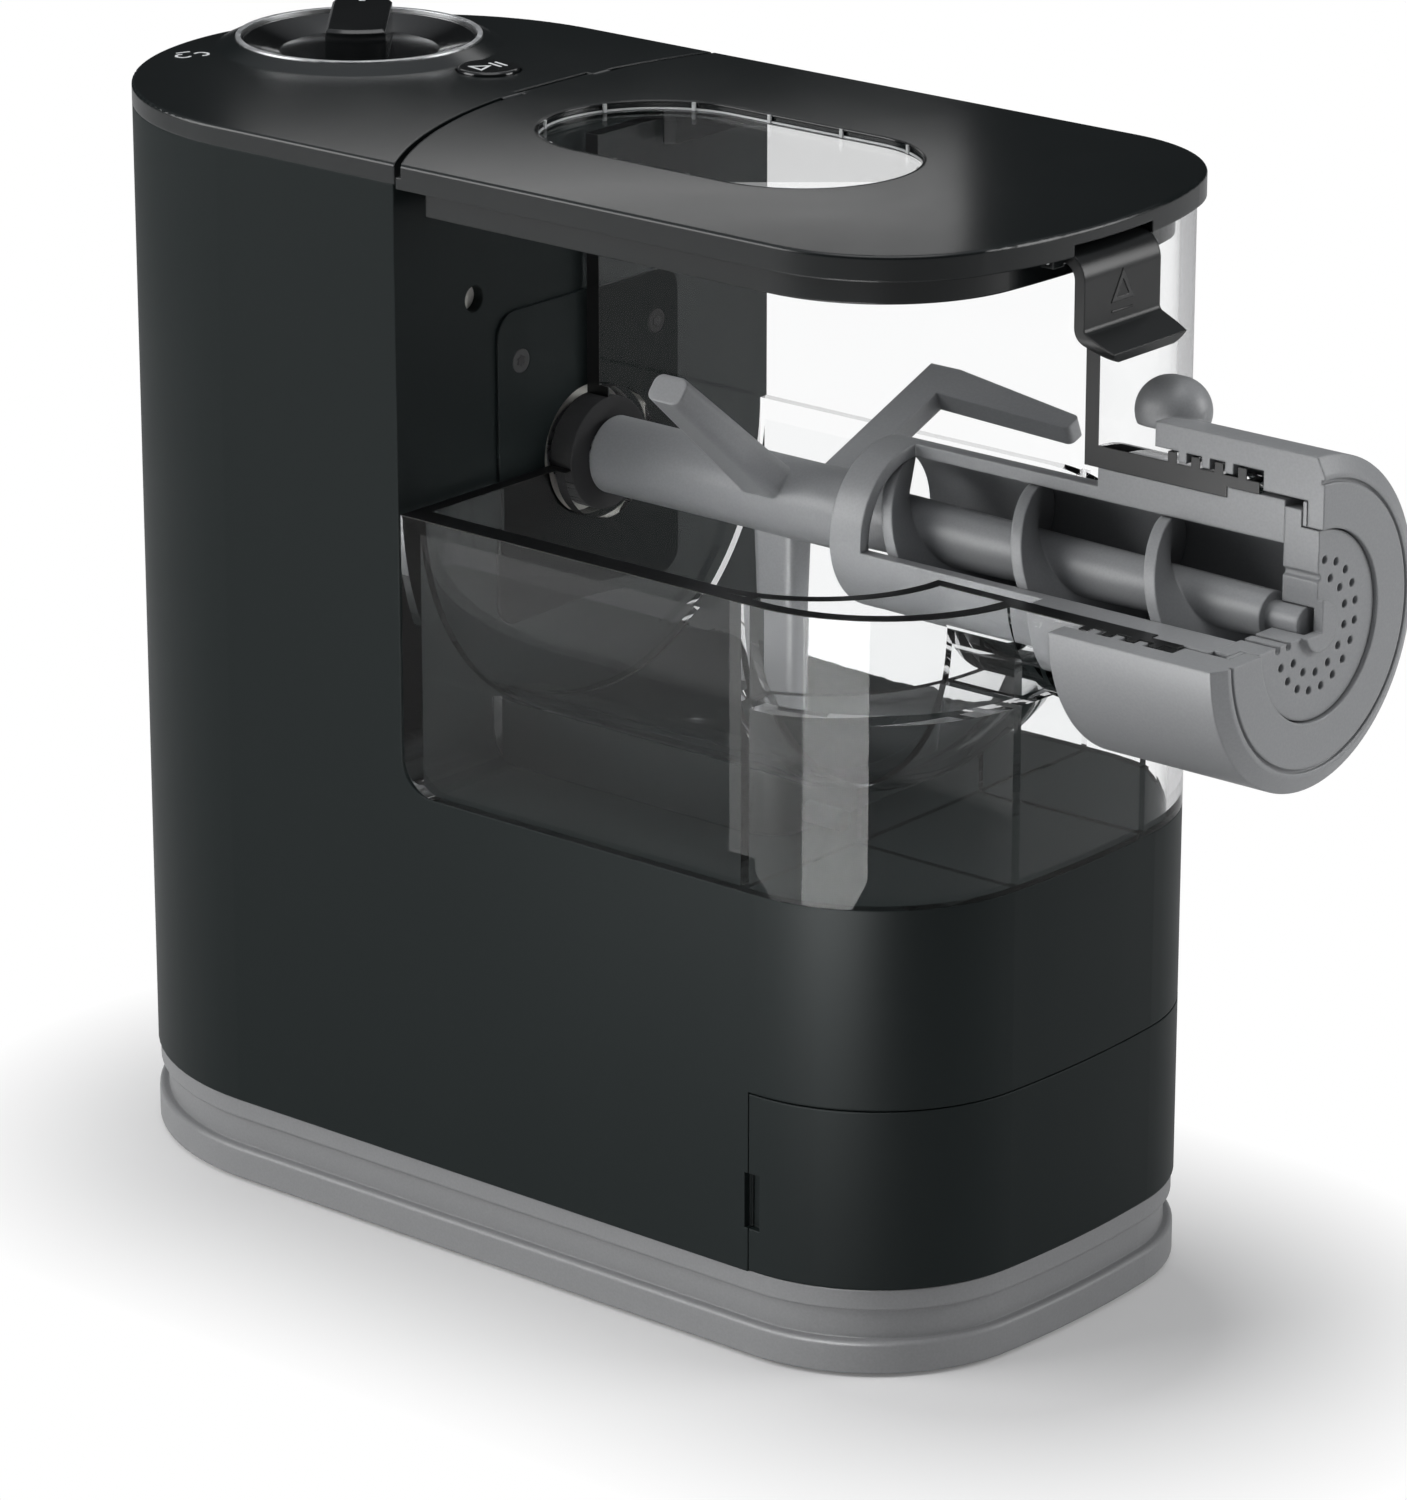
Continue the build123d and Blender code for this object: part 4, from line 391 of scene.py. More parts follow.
def place_group(tree, group, **values):
    """Places an effect in a material with its own values."""
    node = tree.nodes.new("ShaderNodeGroup")
    node.node_tree = group
    for label, value in values.items():
        node.inputs[label].default_value = value
    return node


def ramp(tree, value, low, high, start, end):
    """Maps a 0 to 1 value between low and high onto start to end."""
    node = tree.nodes.new("ShaderNodeMapRange")
    node.inputs["From Min"].default_value = low
    node.inputs["From Max"].default_value = high
    node.inputs["To Min"].default_value = start
    node.inputs["To Max"].default_value = end
    tree.links.new(value, node.inputs["Value"])
    return node.outputs["Result"]


def blend_colours(tree, amount, first, second):
    """Mixes two colours by a 0 to 1 value. The first may be a socket."""
    node = tree.nodes.new("ShaderNodeMix")
    node.data_type = "RGBA"
    tree.links.new(amount, node.inputs["Factor"])
    if isinstance(first, bpy.types.NodeSocket):
        tree.links.new(first, node.inputs["A"])
    else:
        node.inputs["A"].default_value = (*first, 1.0)
    node.inputs["B"].default_value = (*second, 1.0)
    return node.outputs["Result"]


def shaded_normal(tree, shader, height, strength, depth, corner):
    """Feeds the shader a bump over the softened edges."""
    bump = tree.nodes.new("ShaderNodeBump")
    bump.inputs["Strength"].default_value = strength
    bump.inputs["Distance"].default_value = depth
    tree.links.new(height, bump.inputs["Height"])
    tree.links.new(corner.outputs["Normal"], bump.inputs["Normal"])
    tree.links.new(bump.outputs["Normal"], shader.inputs["Normal"])


def grained(name, colour, rough, grain=900.0, depth=0.000012, lift=1.6, edge=0.0006,
            specular=0.5):
    """Moulded plastic: grain in the surface, soft edges paled by wear and painted highlight,
    patches of handling.

    lift is how much paler an edge is, as wear and painted highlight, and edge its width in metres.
    """
    finish, tree, shader, out = blank_finish(name)
    corner = place_group(tree, soft_edge(), Radius=edge)
    pits = place_group(tree, moulded_grain(), Size=grain)
    hands = place_group(tree, handling(), Size=11.0)
    base = Vector(colour)
    speckled = blend_colours(tree, ramp(tree, pits.outputs["Speckle"], 0.0, 0.9, 0.0, 1.0),
                             base * (1 - SPECKLE), base * (1 + SPECKLE))
    # Edges are paled: partly wear, partly a painted highlight along them.
    wear_and_highlight = ramp(tree, corner.outputs["Edge"], 0.0, 1.0, 0.0, EDGE_WEAR_AND_HIGHLIGHT_SHARE)
    tree.links.new(blend_colours(tree, wear_and_highlight, speckled, base * lift), shader.inputs["Base Color"])
    tree.links.new(ramp(tree, hands.outputs["Patch"], 0.25, 0.75,
                        rough - ROUGHNESS_SPREAD, rough + ROUGHNESS_SPREAD),
                   shader.inputs["Roughness"])
    shaded_normal(tree, shader, pits.outputs["Height"], GRAIN_STRENGTH, depth, corner)
    shader.inputs["Specular IOR Level"].default_value = specular
    return finish


def glossy(name, colour, rough=0.12):
    """Polished plastic with a faint orange peel and fine handling haze."""
    finish, tree, shader, out = blank_finish(name)
    corner = place_group(tree, soft_edge(), Radius=0.0005)
    hands = place_group(tree, handling(), Size=30.0)
    peel = place_group(tree, moulded_grain(), Size=260.0)
    base = Vector(colour)
    tree.links.new(blend_colours(tree, ramp(tree, hands.outputs["Patch"], 0.3, 0.7, 0.0, 1.0),
                                 base * 0.9, base * 1.25), shader.inputs["Base Color"])
    tree.links.new(ramp(tree, hands.outputs["Patch"], 0.3, 0.75, rough * 0.7, rough * 1.6),
                   shader.inputs["Roughness"])
    shaded_normal(tree, shader, peel.outputs["Height"], PEEL_STRENGTH, PEEL_DEPTH, corner)
    return finish


def metal(name, colour, rough, stretch=(1.0, 1.0, 1.0), scale=700.0):
    """Bare metal with fine turning or drawing lines along one direction."""
    finish, tree, shader, out = blank_finish(name)
    place = tree.nodes.new("ShaderNodeTexCoord")
    turn = tree.nodes.new("ShaderNodeMapping")
    turn.inputs["Scale"].default_value = stretch
    lines = tree.nodes.new("ShaderNodeTexNoise")
    lines.inputs["Scale"].default_value = scale
    lines.inputs["Detail"].default_value = 2.0
    tree.links.new(place.outputs["Object"], turn.inputs["Vector"])
    tree.links.new(turn.outputs["Vector"], lines.inputs["Vector"])
    base = Vector(colour)
    tree.links.new(blend_colours(tree, lines.outputs["Fac"], base * 0.88, base * 1.05),
                   shader.inputs["Base Color"])
    tree.links.new(ramp(tree, lines.outputs["Fac"], 0.2, 0.8, rough * 0.75, rough * 1.35),
                   shader.inputs["Roughness"])
    corner = place_group(tree, soft_edge(), Radius=0.0003)
    tree.links.new(corner.outputs["Normal"], shader.inputs["Normal"])
    shader.inputs["Metallic"].default_value = 1.0
    return finish


def clear_plastic(name, colour):
    """Clear moulding that lets shadow rays through, with a light haze of handling."""
    finish, tree, shader, out = blank_finish(name)
    hands = place_group(tree, handling(), Size=9.0)
    tree.links.new(ramp(tree, hands.outputs["Patch"], 0.40, 0.8, 0.0, CLEAR_HAZE),
                   shader.inputs["Roughness"])
    shader.inputs["Base Color"].default_value = (*colour, 1.0)
    shader.inputs["Transmission Weight"].default_value = 1.0
    shader.inputs["IOR"].default_value = CLEAR_IOR
    gap = tree.nodes.new("ShaderNodeBsdfTransparent")
    gap.inputs["Color"].default_value = (*colour, 1.0)
    path = tree.nodes.new("ShaderNodeLightPath")
    shown_as(tree, path.outputs["Is Shadow Ray"], shader, gap, out)
    return finish


def circuit_board(name):
    """Green solder mask with tracks and small pads."""
    finish, tree, shader, out = blank_finish(name)
    place = tree.nodes.new("ShaderNodeTexCoord")
    tracks = tree.nodes.new("ShaderNodeTexBrick")
    tracks.inputs["Scale"].default_value = 160.0
    tracks.inputs["Mortar Size"].default_value = 0.03
    tracks.inputs["Color1"].default_value = (0.012, 0.085, 0.035, 1.0)
    tracks.inputs["Color2"].default_value = (0.015, 0.110, 0.045, 1.0)
    tracks.inputs["Mortar"].default_value = (0.050, 0.240, 0.100, 1.0)
    tree.links.new(place.outputs["Object"], tracks.inputs["Vector"])
    tree.links.new(tracks.outputs["Color"], shader.inputs["Base Color"])
    tree.links.new(ramp(tree, tracks.outputs["Fac"], 0.0, 1.0, 0.28, 0.45),
                   shader.inputs["Roughness"])
    return finish


def winding(name):
    """Enamelled copper wire wound in close turns."""
    finish, tree, shader, out = blank_finish(name)
    place = tree.nodes.new("ShaderNodeTexCoord")
    wire = tree.nodes.new("ShaderNodeTexWave")
    wire.bands_direction = "Z"
    wire.inputs["Scale"].default_value = 260.0
    tree.links.new(place.outputs["Object"], wire.inputs["Vector"])
    # The wire darkens in the grooves between turns, following the bump: painted shade.
    tree.links.new(blend_colours(tree, wire.outputs["Fac"], (0.30, 0.11, 0.04),
                                 (0.74, 0.33, 0.13)), shader.inputs["Base Color"])
    bump = tree.nodes.new("ShaderNodeBump")
    bump.inputs["Distance"].default_value = 0.0003
    tree.links.new(wire.outputs["Fac"], bump.inputs["Height"])
    tree.links.new(bump.outputs["Normal"], shader.inputs["Normal"])
    shader.inputs["Metallic"].default_value = 0.8
    shader.inputs["Roughness"].default_value = 0.35
    return finish


def finishes():
    """Every finish by the name of its material slot, plus those of the added pieces."""
    tone = colours()
    return {
        "housing_black": grained("Housing black", tone.housing, 0.44, grain=2400.0, specular=0.11),
        "cover_black": grained("Cover black", tone.cover, 0.22, grain=2600.0, specular=0.38),
        "dial_black": glossy("Dial black", tone.gloss),
        "latch_black": grained("Latch black", tone.latch, 0.28, grain=1500.0, specular=0.40),
        "plinth_grey": grained("Plinth grey", tone.plinth, 0.44, lift=1.22),
        "nozzle_grey": grained("Nozzle grey", tone.nozzle, 0.40, lift=1.25, edge=0.0008),
        "clear_plastic": clear_plastic("Clear plastic", tone.clear),
        "trim_silver": metal("Silver trim", tone.silver, 0.38, scale=420.0),
        "steel": metal("Turned steel", (0.55, 0.56, 0.57), 0.28, stretch=(6.0, 1.0, 1.0)),
        "gear_white": grained("Natural acetal", (0.68, 0.67, 0.62), 0.38, lift=1.1),
        "foot_rubber": grained("Foot rubber", (0.020, 0.020, 0.021), 0.78, grain=600.0,
                               specular=0.3),
        "board_green": circuit_board("Circuit board"),
        "switch_black": grained("Switch black", (0.018, 0.018, 0.019), 0.48),
        "motor_grey": metal("Zinc plate", (0.46, 0.47, 0.48), 0.42, stretch=(1.0, 1.0, 8.0),
                            scale=240.0),
        "coil_copper": winding("Copper winding"),
        "print": grained("White print", tone.printed, 0.50, grain=2200.0, depth=0.000004,
                         lift=1.05, edge=0.0001),
        "washer_grey": grained("Grey acetal", Vector(tone.nozzle) * 1.15, 0.34, lift=1.1),
        # Pale grey of the pane's edge bead and clips: painted highlight along the pane's edge.
        "pane_edge_highlight": glossy("Pane edge highlight", (0.42, 0.43, 0.43), 0.2),
        "section": grained("Section paint", tone.section, 0.34, grain=1600.0, lift=2.0,
                           edge=0.0003, specular=0.35),
    }


FINISH = {}    # filled by the first operator


def dress(piece, finish):
    """Gives the piece one finish all over."""
    piece.data.materials.clear()
    piece.data.materials.append(FINISH[finish])


# ------------------------------------------------------------------ modelling helpers
def only(piece):
    """Leaves object mode with this piece alone selected and active."""
    if bpy.context.object and bpy.context.object.mode != "OBJECT":
        bpy.ops.object.mode_set(mode="OBJECT")
    bpy.ops.object.select_all(action="DESELECT")
    piece.select_set(True)
    bpy.context.view_layer.objects.active = piece


def edit(piece, elements):
    """Edit mode on this piece alone, with nothing selected."""
    only(piece)
    bpy.ops.object.mode_set(mode="EDIT")
    bpy.ops.mesh.select_mode(type=elements)
    bpy.ops.mesh.select_all(action="DESELECT")


def pick_faces(piece, wanted):
    """Edit mode with just the faces whose middle and normal are wanted."""
    edit(piece, "FACE")
    mesh = bmesh.from_edit_mesh(piece.data)
    for face in mesh.faces:
        face.select_set(wanted(face.calc_center_median(), face.normal))
    bmesh.update_edit_mesh(piece.data)


def pick_points(piece, wanted):
    """Edit mode with just the wanted points."""
    edit(piece, "VERT")
    mesh = bmesh.from_edit_mesh(piece.data)
    for point in mesh.verts:
        point.select_set(wanted(point.co))
    mesh.select_flush_mode()
    bmesh.update_edit_mesh(piece.data)


def thicken(piece, depth):
    """Gives flat print or paint its thickness, outward from the surface it lies on."""
    only(piece)
    wall = piece.modifiers.new("Thickness", "SOLIDIFY")
    wall.thickness = depth
    wall.offset = 1.0
    wall.use_even_offset = True
    bpy.ops.object.modifier_apply(modifier=wall.name)


def settle(piece, name, body, finish):
    """Puts the piece's place in its mesh, names it, finishes it and lets it ride."""
    only(piece)
    bpy.ops.object.transform_apply(location=True, rotation=True, scale=True)
    bpy.ops.object.mode_set(mode="EDIT")
    bpy.ops.mesh.select_all(action="SELECT")
    bpy.ops.mesh.normals_make_consistent(inside=False)
    bpy.ops.object.mode_set(mode="OBJECT")
    bpy.ops.object.shade_smooth_by_angle(angle=SMOOTH_ANGLE)
    piece.name = name
    dress(piece, finish)
    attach(piece, body)


def copied(piece, place, turn=None):
    """Copy of a piece, with a mesh of its own, at another place."""
    copy = piece.copy()
    copy.data = piece.data.copy()
    bpy.context.scene.collection.objects.link(copy)
    copy.location = place
    if turn is not None:
        copy.rotation_euler = turn
    return copy


def joined(pieces):
    """One object made of several."""
    only(pieces[0])
    for piece in pieces[1:]:
        piece.select_set(True)
    bpy.ops.object.join()
    return bpy.context.object


def disc(sides, radius, place, turn=(0.0, 0.0, 0.0)):
    """Flat filled disc with straight sides."""
    bpy.ops.mesh.primitive_circle_add(
        vertices=sides, radius=radius, fill_type="NGON", location=place, rotation=turn)
    return bpy.context.object


def hoop(sides, radius, stroke, place, turn=(0.0, 0.0, 0.0)):
    """Flat outline of a regular shape: a disc inset and emptied."""
    piece = disc(sides, radius, place, turn)
    bpy.ops.object.mode_set(mode="EDIT")
    bpy.ops.mesh.select_all(action="SELECT")
    bpy.ops.mesh.inset(thickness=stroke)
    bpy.ops.mesh.delete(type="FACE")
    bpy.ops.object.mode_set(mode="OBJECT")
    return piece


def stroke_bar(size_x, size_y, place, turn=(0.0, 0.0, 0.0)):
    """Flat bar with clipped corners, of a size along its own X and Y."""
    bpy.ops.mesh.primitive_plane_add(size=1.0, location=place, rotation=turn)
    piece = bpy.context.object
    bpy.ops.object.mode_set(mode="EDIT")
    bpy.ops.transform.resize(value=(size_x, size_y, 1.0), orient_type="LOCAL")
    bpy.ops.mesh.select_all(action="SELECT")
    bpy.ops.mesh.bevel(offset=min(size_x, size_y) * 0.3, segments=2, affect="VERTICES")
    bpy.ops.object.mode_set(mode="OBJECT")
    return piece


def flat_height(node, direction):
    """Distance along a direction of the node's largest flat face that points that way."""
    areas = {}
    for face in frame["nodes"][node].data.polygons:
        if face.normal.dot(direction) > 0.999:
            level = round(face.center.dot(direction), 5)
            areas[level] = areas.get(level, 0.0) + face.area
    return max(areas, key=areas.get)


# ------------------------------------------------------------------ pieces
class PASTA_OT_finish_pieces(bpy.types.Operator):
    """Gives every piece of the construction model its finish"""

    bl_idname = "pasta.finish_pieces"
    bl_label = "Finish the pieces"

    def execute(self, context):
        FINISH.update(finishes())
        for part in frame["record"]["subparts"]:
            dress(frame["nodes"][part["node"]], part["material_slot"])
        dress(frame["nodes"]["slip_washer"], "washer_grey")
        return {"FINISHED"}


class PASTA_OT_section_paint(bpy.types.Operator):
    """Paints the chamber's cut faces black"""

    bl_idname = "pasta.section_paint"
    bl_label = "Section paint"

    def execute(self, context):
        cut_z = DRIVE_AXIS.z - sizes().section_drop

        def not_cut(middle, normal):
            upright = abs(normal.y) > 0.99 and abs(middle.y) < CUT_TOLERANCE and middle.z > cut_z
            level = (abs(normal.z) > 0.99 and abs(middle.z - cut_z) < CUT_TOLERANCE
                     and middle.y < 0)
            return not (upright or level)

        mesh = frame["nodes"]["mixing_chamber"].data.copy()
        paint = bpy.data.objects.new("paint", mesh)
        context.scene.collection.objects.link(paint)
        only(paint)
        bpy.ops.object.mode_set(mode="EDIT")
        bpy.ops.mesh.select_all(action="SELECT")
        bpy.ops.mesh.remove_doubles(threshold=MERGE_DISTANCE)
        pick_faces(paint, not_cut)
        bpy.ops.mesh.delete(type="FACE")
        bpy.ops.mesh.select_all(action="SELECT")
        bpy.ops.mesh.dissolve_limited(angle_limit=math.radians(1))
        bpy.ops.object.mode_set(mode="OBJECT")
        if not paint.data.polygons:
            raise RuntimeError("the chamber has no cut faces to paint")
        thicken(paint, sizes().section_paint)
        settle(paint, "section_paint", "housing", "section")
        return {"FINISHED"}


def window_edge(inset, height):
    """Closed loop of points just inside the window's outline."""
    bpy.ops.mesh.primitive_circle_add(
        vertices=WINDOW_SIDES, radius=WINDOW_HALF - inset, fill_type="NOTHING",
        location=(WINDOW_MIDDLE.x, WINDOW_MIDDLE.y, height))
    loop = bpy.context.object
    for side in (-1, 1):
        pick_points(loop, lambda point: point.x * side > MERGE_DISTANCE)
        bpy.ops.transform.translate(value=(side * WINDOW_RUN, 0.0, 0.0))
        bpy.ops.object.mode_set(mode="OBJECT")
    return loop


def bead(loop, radius):
    """Round bead along a loop of points."""
    only(loop)
    bpy.ops.object.convert(target="CURVE")
    curve = bpy.context.object
    curve.data.bevel_depth = radius
    curve.data.bevel_resolution = 3
    bpy.ops.object.convert(target="MESH")
    return bpy.context.object


class PASTA_OT_window_trim(bpy.types.Operator):
    """Makes the gloss bead round the lid's window, and a pale bead and clips at the pane's edge
    whose pale grey is painted highlight
    """

    bl_idname = "pasta.window_trim"
    bl_label = "Window trim"

    def execute(self, context):
        size = sizes()
        bezel = window_edge(size.bezel_radius, LID_TOP - size.bezel_radius * BEZEL_SINK)
        settle(bead(bezel, size.bezel_radius), "window_bezel", "lid", "dial_black")
        # The pale seat bead paints the light line along the pane's edge.
        seat = window_edge(size.seat_radius * SEAT_INSET,
                           WINDOW_HIGH.z + size.seat_radius * SEAT_RISE)
        settle(bead(seat, size.seat_radius), "window_seat", "lid", "pane_edge_highlight")
        self.clips(size)
        return {"FINISHED"}

    def clips(self, size):
        """Clips at even steps along the window's outline."""
        run = WINDOW_RUN
        reach = WINDOW_HALF - size.clip_width * CLIP_INSET
        round_part = math.pi * reach
        length = 4 * run + 2 * round_part
        model = self.clip(size)
        made = []
        for index in range(size.clip_count):
            way = (index + 0.5) / size.clip_count * length
            if way < 2 * run:
                x, y, turn = run - way, reach, math.pi / 2
            elif way < 2 * run + round_part:
                turn = math.pi / 2 + (way - 2 * run) / reach
                x, y = -run + reach * math.cos(turn), reach * math.sin(turn)
            elif way < 4 * run + round_part:
                x, y, turn = -run + way - 2 * run - round_part, -reach, -math.pi / 2
            else:
                turn = -math.pi / 2 + (way - 4 * run - round_part) / reach
                x, y = run + reach * math.cos(turn), reach * math.sin(turn)
            place = (WINDOW_MIDDLE.x + x, WINDOW_MIDDLE.y + y,
                     WINDOW_HIGH.z + size.clip_height / 2)
            made.append(copied(model, place, (0.0, 0.0, turn)))
        bpy.data.objects.remove(model)
        # The clips' pale grey is painted highlight as well.
        settle(joined(made), "window_clips", "lid", "pane_edge_highlight")

    def clip(self, size):
        """One clip, at the origin: a small block whose top leans outward."""
        bpy.ops.mesh.primitive_cube_add(size=1.0)
        piece = bpy.context.object
        piece.scale = (size.clip_width * CLIP_THICKNESS, size.clip_width, size.clip_height)
        pick_faces(piece, lambda middle, normal: normal.z > 0.9)
        bpy.ops.mesh.inset(thickness=size.clip_width * CLIP_TAPER)
        bpy.ops.transform.translate(value=(size.clip_width * CLIP_LEAN, 0.0, 0.0),
                                    orient_type="LOCAL")
        bpy.ops.object.mode_set(mode="OBJECT")
        return piece


class PASTA_OT_dial_marks(bpy.types.Operator):
    """Prints the pointer dot on the dial and the marks beside it"""

    bl_idname = "pasta.dial_marks"
    bl_label = "Dial marks"

    def execute(self, context):
        size = sizes()
        pointer = disc(DOT_SIDES, POINTER_RADIUS,
                       self.round_dial(POINTER_REACH, POINTER_ANGLE, DIAL_HIGH.z))
        thicken(pointer, size.print_depth)
        settle(pointer, "pointer_dot", "dial", "print")
        self.cover_marks(size)
        return {"FINISHED"}

    def round_dial(self, reach, angle, height):
        """Point at a reach and an angle from the dial's axis."""
        dial = (DIAL_LOW + DIAL_HIGH) / 2
        return (dial.x + reach * math.cos(angle), dial.y + reach * math.sin(angle), height)

    def cover_marks(self, size):
        """A dot at the ring's edge and a curled noodle behind it."""
        dot = disc(DOT_SIDES, BEVEL_DOT_RADIUS,
                   self.round_dial(BEVEL_DOT_REACH, BEVEL_DOT_ANGLE, LID_TOP + BEVEL_DOT_RISE),
                   (0.0, BEVEL_SLOPE, BEVEL_DOT_ANGLE))
        made = [dot]
        for place, start in zip(CURL_PLACES, CURL_OPENINGS):
            curl = hoop(CURL_SIDES, CURL_RADIUS, size.print_stroke, (*place, LID_TOP))

            def in_opening(middle, normal):
                past_start = (math.atan2(middle.y, middle.x) - start) % math.tau
                return 0.0 < past_start < CURL_OPENING

            pick_faces(curl, in_opening)
            bpy.ops.mesh.delete(type="FACE")
            bpy.ops.object.mode_set(mode="OBJECT")
            made.append(curl)
        made.append(stroke_bar(size.print_stroke, TAIL_LENGTH, (*TAIL_PLACE, LID_TOP),
                               (0.0, 0.0, TAIL_TURN)))
        for piece in made:
            thicken(piece, size.print_depth)
        settle(joined(made), "cover_marks", "housing", "print")


class PASTA_OT_button_mark(bpy.types.Operator):
    """Prints the start and pause mark on the button"""

    bl_idname = "pasta.button_mark"
    bl_label = "Button mark"

    def execute(self, context):
        size = sizes()
        middle = (BUTTON_LOW + BUTTON_HIGH) / 2
        top = BUTTON_HIGH.z
        reach = size.button_mark
        made = [hoop(3, reach, size.print_stroke,
                     (middle.x, middle.y - reach * ARROW_SETBACK, top))]
        for along in PAUSE_STEPS:
            made.append(stroke_bar(reach * PAUSE_LENGTH, size.print_stroke,
                                   (middle.x, middle.y + reach * along, top)))
        for piece in made:
            thicken(piece, size.print_depth)
        mark = joined(made)
        context.scene.cursor.location = (middle.x, middle.y, top)
        bpy.ops.object.origin_set(type="ORIGIN_CURSOR")
        mark.rotation_euler.z += BUTTON_MARK_TURN
        settle(mark, "button_mark", "button", "print")
        return {"FINISHED"}


class PASTA_OT_latch_mark(bpy.types.Operator):
    """Makes the raised arrow and bar on the latch"""

    bl_idname = "pasta.latch_mark"
    bl_label = "Latch mark"

    def execute(self, context):
        size = sizes()
        face_x = flat_height("lid_latch", Vector((1, 0, 0)))
        centre = LATCH_TOP - LATCH_MARK_DROP
        made = [hoop(3, size.latch_mark, LATCH_STROKE, (face_x, 0.0, centre), FACE_X),
                stroke_bar(size.latch_mark * LATCH_BAR_LENGTH, LATCH_BAR_WIDTH,
                           (face_x, 0.0, centre - LATCH_BAR_DROP), FACE_X)]
        for piece in made:
            thicken(piece, size.print_depth * 2)
        settle(joined(made), "latch_mark", "latch", "dial_black")
        return {"FINISHED"}


class PASTA_OT_painted_socket_shade(bpy.types.Operator):
    """Paints the six-lobed sockets in the tower's screws as flat black stars: painted shade of the
    hollows
    """

    bl_idname = "pasta.screw_sockets"
    bl_label = "Screw sockets"

    def execute(self, context):
        size = sizes()
        middle = (SCREWS_LOW + SCREWS_HIGH) / 2
        head = (SCREWS_HIGH.z - SCREWS_LOW.z) / 2
        star = disc(2 * LOBES, size.socket_radius,
                    (SCREWS_HIGH.x, SCREWS_LOW.y + head, middle.z), FACE_X)
        pick_points(star, self.between_lobes)
        bpy.ops.transform.resize(value=(LOBE_WAIST,) * 3)
        bpy.ops.object.mode_set(mode="OBJECT")
        thicken(star, size.print_depth)
        other = copied(star, (SCREWS_HIGH.x, SCREWS_HIGH.y - head, middle.z))
        # The sockets' black is painted shade; they are flat stars, not hollows.
        settle(joined([star, other]), "screw_sockets", "housing", "section")
        return {"FINISHED"}

    def between_lobes(self, point):
        """True for every other point of the star."""
        return round(math.atan2(point.y, point.x) / (math.pi / LOBES)) % 2 == 0


# ------------------------------------------------------------------ stage
def soft_box(name, place, aim, width, height, power, sheen_only=False):
    """Rectangular studio light that faces a point. With sheen_only, just gloss sees it."""
    data = bpy.data.lights.new(name, "AREA")
    data.shape = "RECTANGLE"
    data.size = width
    data.size_y = height
    data.energy = power
    lamp = bpy.data.objects.new(name, data)
    bpy.context.scene.collection.objects.link(lamp)
    lamp.visible_camera = False
    lamp.visible_transmission = False
    lamp.visible_diffuse = not sheen_only
    lamp.location = place
    lamp.rotation_euler = (Vector(aim) - Vector(place)).to_track_quat("-Z", "Y").to_euler()


def vector_step(tree, operation, value, amount=None):
    """Vector Math node on a socket and, where it takes one, a fixed vector."""
    node = tree.nodes.new("ShaderNodeVectorMath")
    node.operation = operation
    tree.links.new(value, node.inputs[0])
    if amount:
        node.inputs[1].default_value = amount
    return node.outputs["Value" if operation == "LENGTH" else "Vector"]


def distance_from_machine(tree, place):
    """Distance on the floor from a line under the machine."""
    across = vector_step(tree, "ADD", place, (0.0, SHADE_SHIFT, 0.0))
    across = vector_step(tree, "ABSOLUTE", across)
    across = vector_step(tree, "SUBTRACT", across, (SHADE_REACH, 0.0, 0.0))
    across = vector_step(tree, "MAXIMUM", across, (0.0, 0.0, 0.0))
    return vector_step(tree, "LENGTH", across)


def shown_as(tree, share, plain, shown, out):
    """Mixes two shaders by a share and feeds the output."""
    either = tree.nodes.new("ShaderNodeMixShader")
    tree.links.new(share, either.inputs[0])
    tree.links.new(plain.outputs[0], either.inputs[1])
    tree.links.new(shown.outputs[0], either.inputs[2])
    tree.links.new(either.outputs[0], out.inputs["Surface"])


def floor_finish():
    """Pale floor that keeps its shadow near the machine and glows plain white far from it; the
    glow fades towards the machine, painting a soft shade round it.
    """
    finish, tree, shader, out = blank_finish("Studio floor")
    place = tree.nodes.new("ShaderNodeTexCoord")
    cloud = tree.nodes.new("ShaderNodeTexNoise")
    cloud.inputs["Scale"].default_value = 2.0
    tree.links.new(place.outputs["Object"], cloud.inputs["Vector"])
    base = Vector(colours().floor)
    tree.links.new(blend_colours(tree, cloud.outputs["Fac"], base * 0.985, base),
                   shader.inputs["Base Color"])
    shader.inputs["Roughness"].default_value = 0.55
    shader.inputs["Specular IOR Level"].default_value = 0.2
    glow = tree.nodes.new("ShaderNodeEmission")
    # Withholding the white glow near the machine paints a soft shade round it, on top of its real
    # shadow.
    away = ramp(tree, distance_from_machine(tree, place.outputs["Object"]),
                SHADE_FULL, SHADE_GONE, SHADE_WHITE, 1.0)
    path = tree.nodes.new("ShaderNodeLightPath")
    in_gloss = maths(tree, "MULTIPLY", path.outputs["Is Glossy Ray"], FLOOR_IN_GLOSS)
    ray = maths(tree, "MAXIMUM", straight_through(tree, path), in_gloss)
    shown_as(tree, maths(tree, "MULTIPLY", away, ray), shader, glow, out)
    return finish


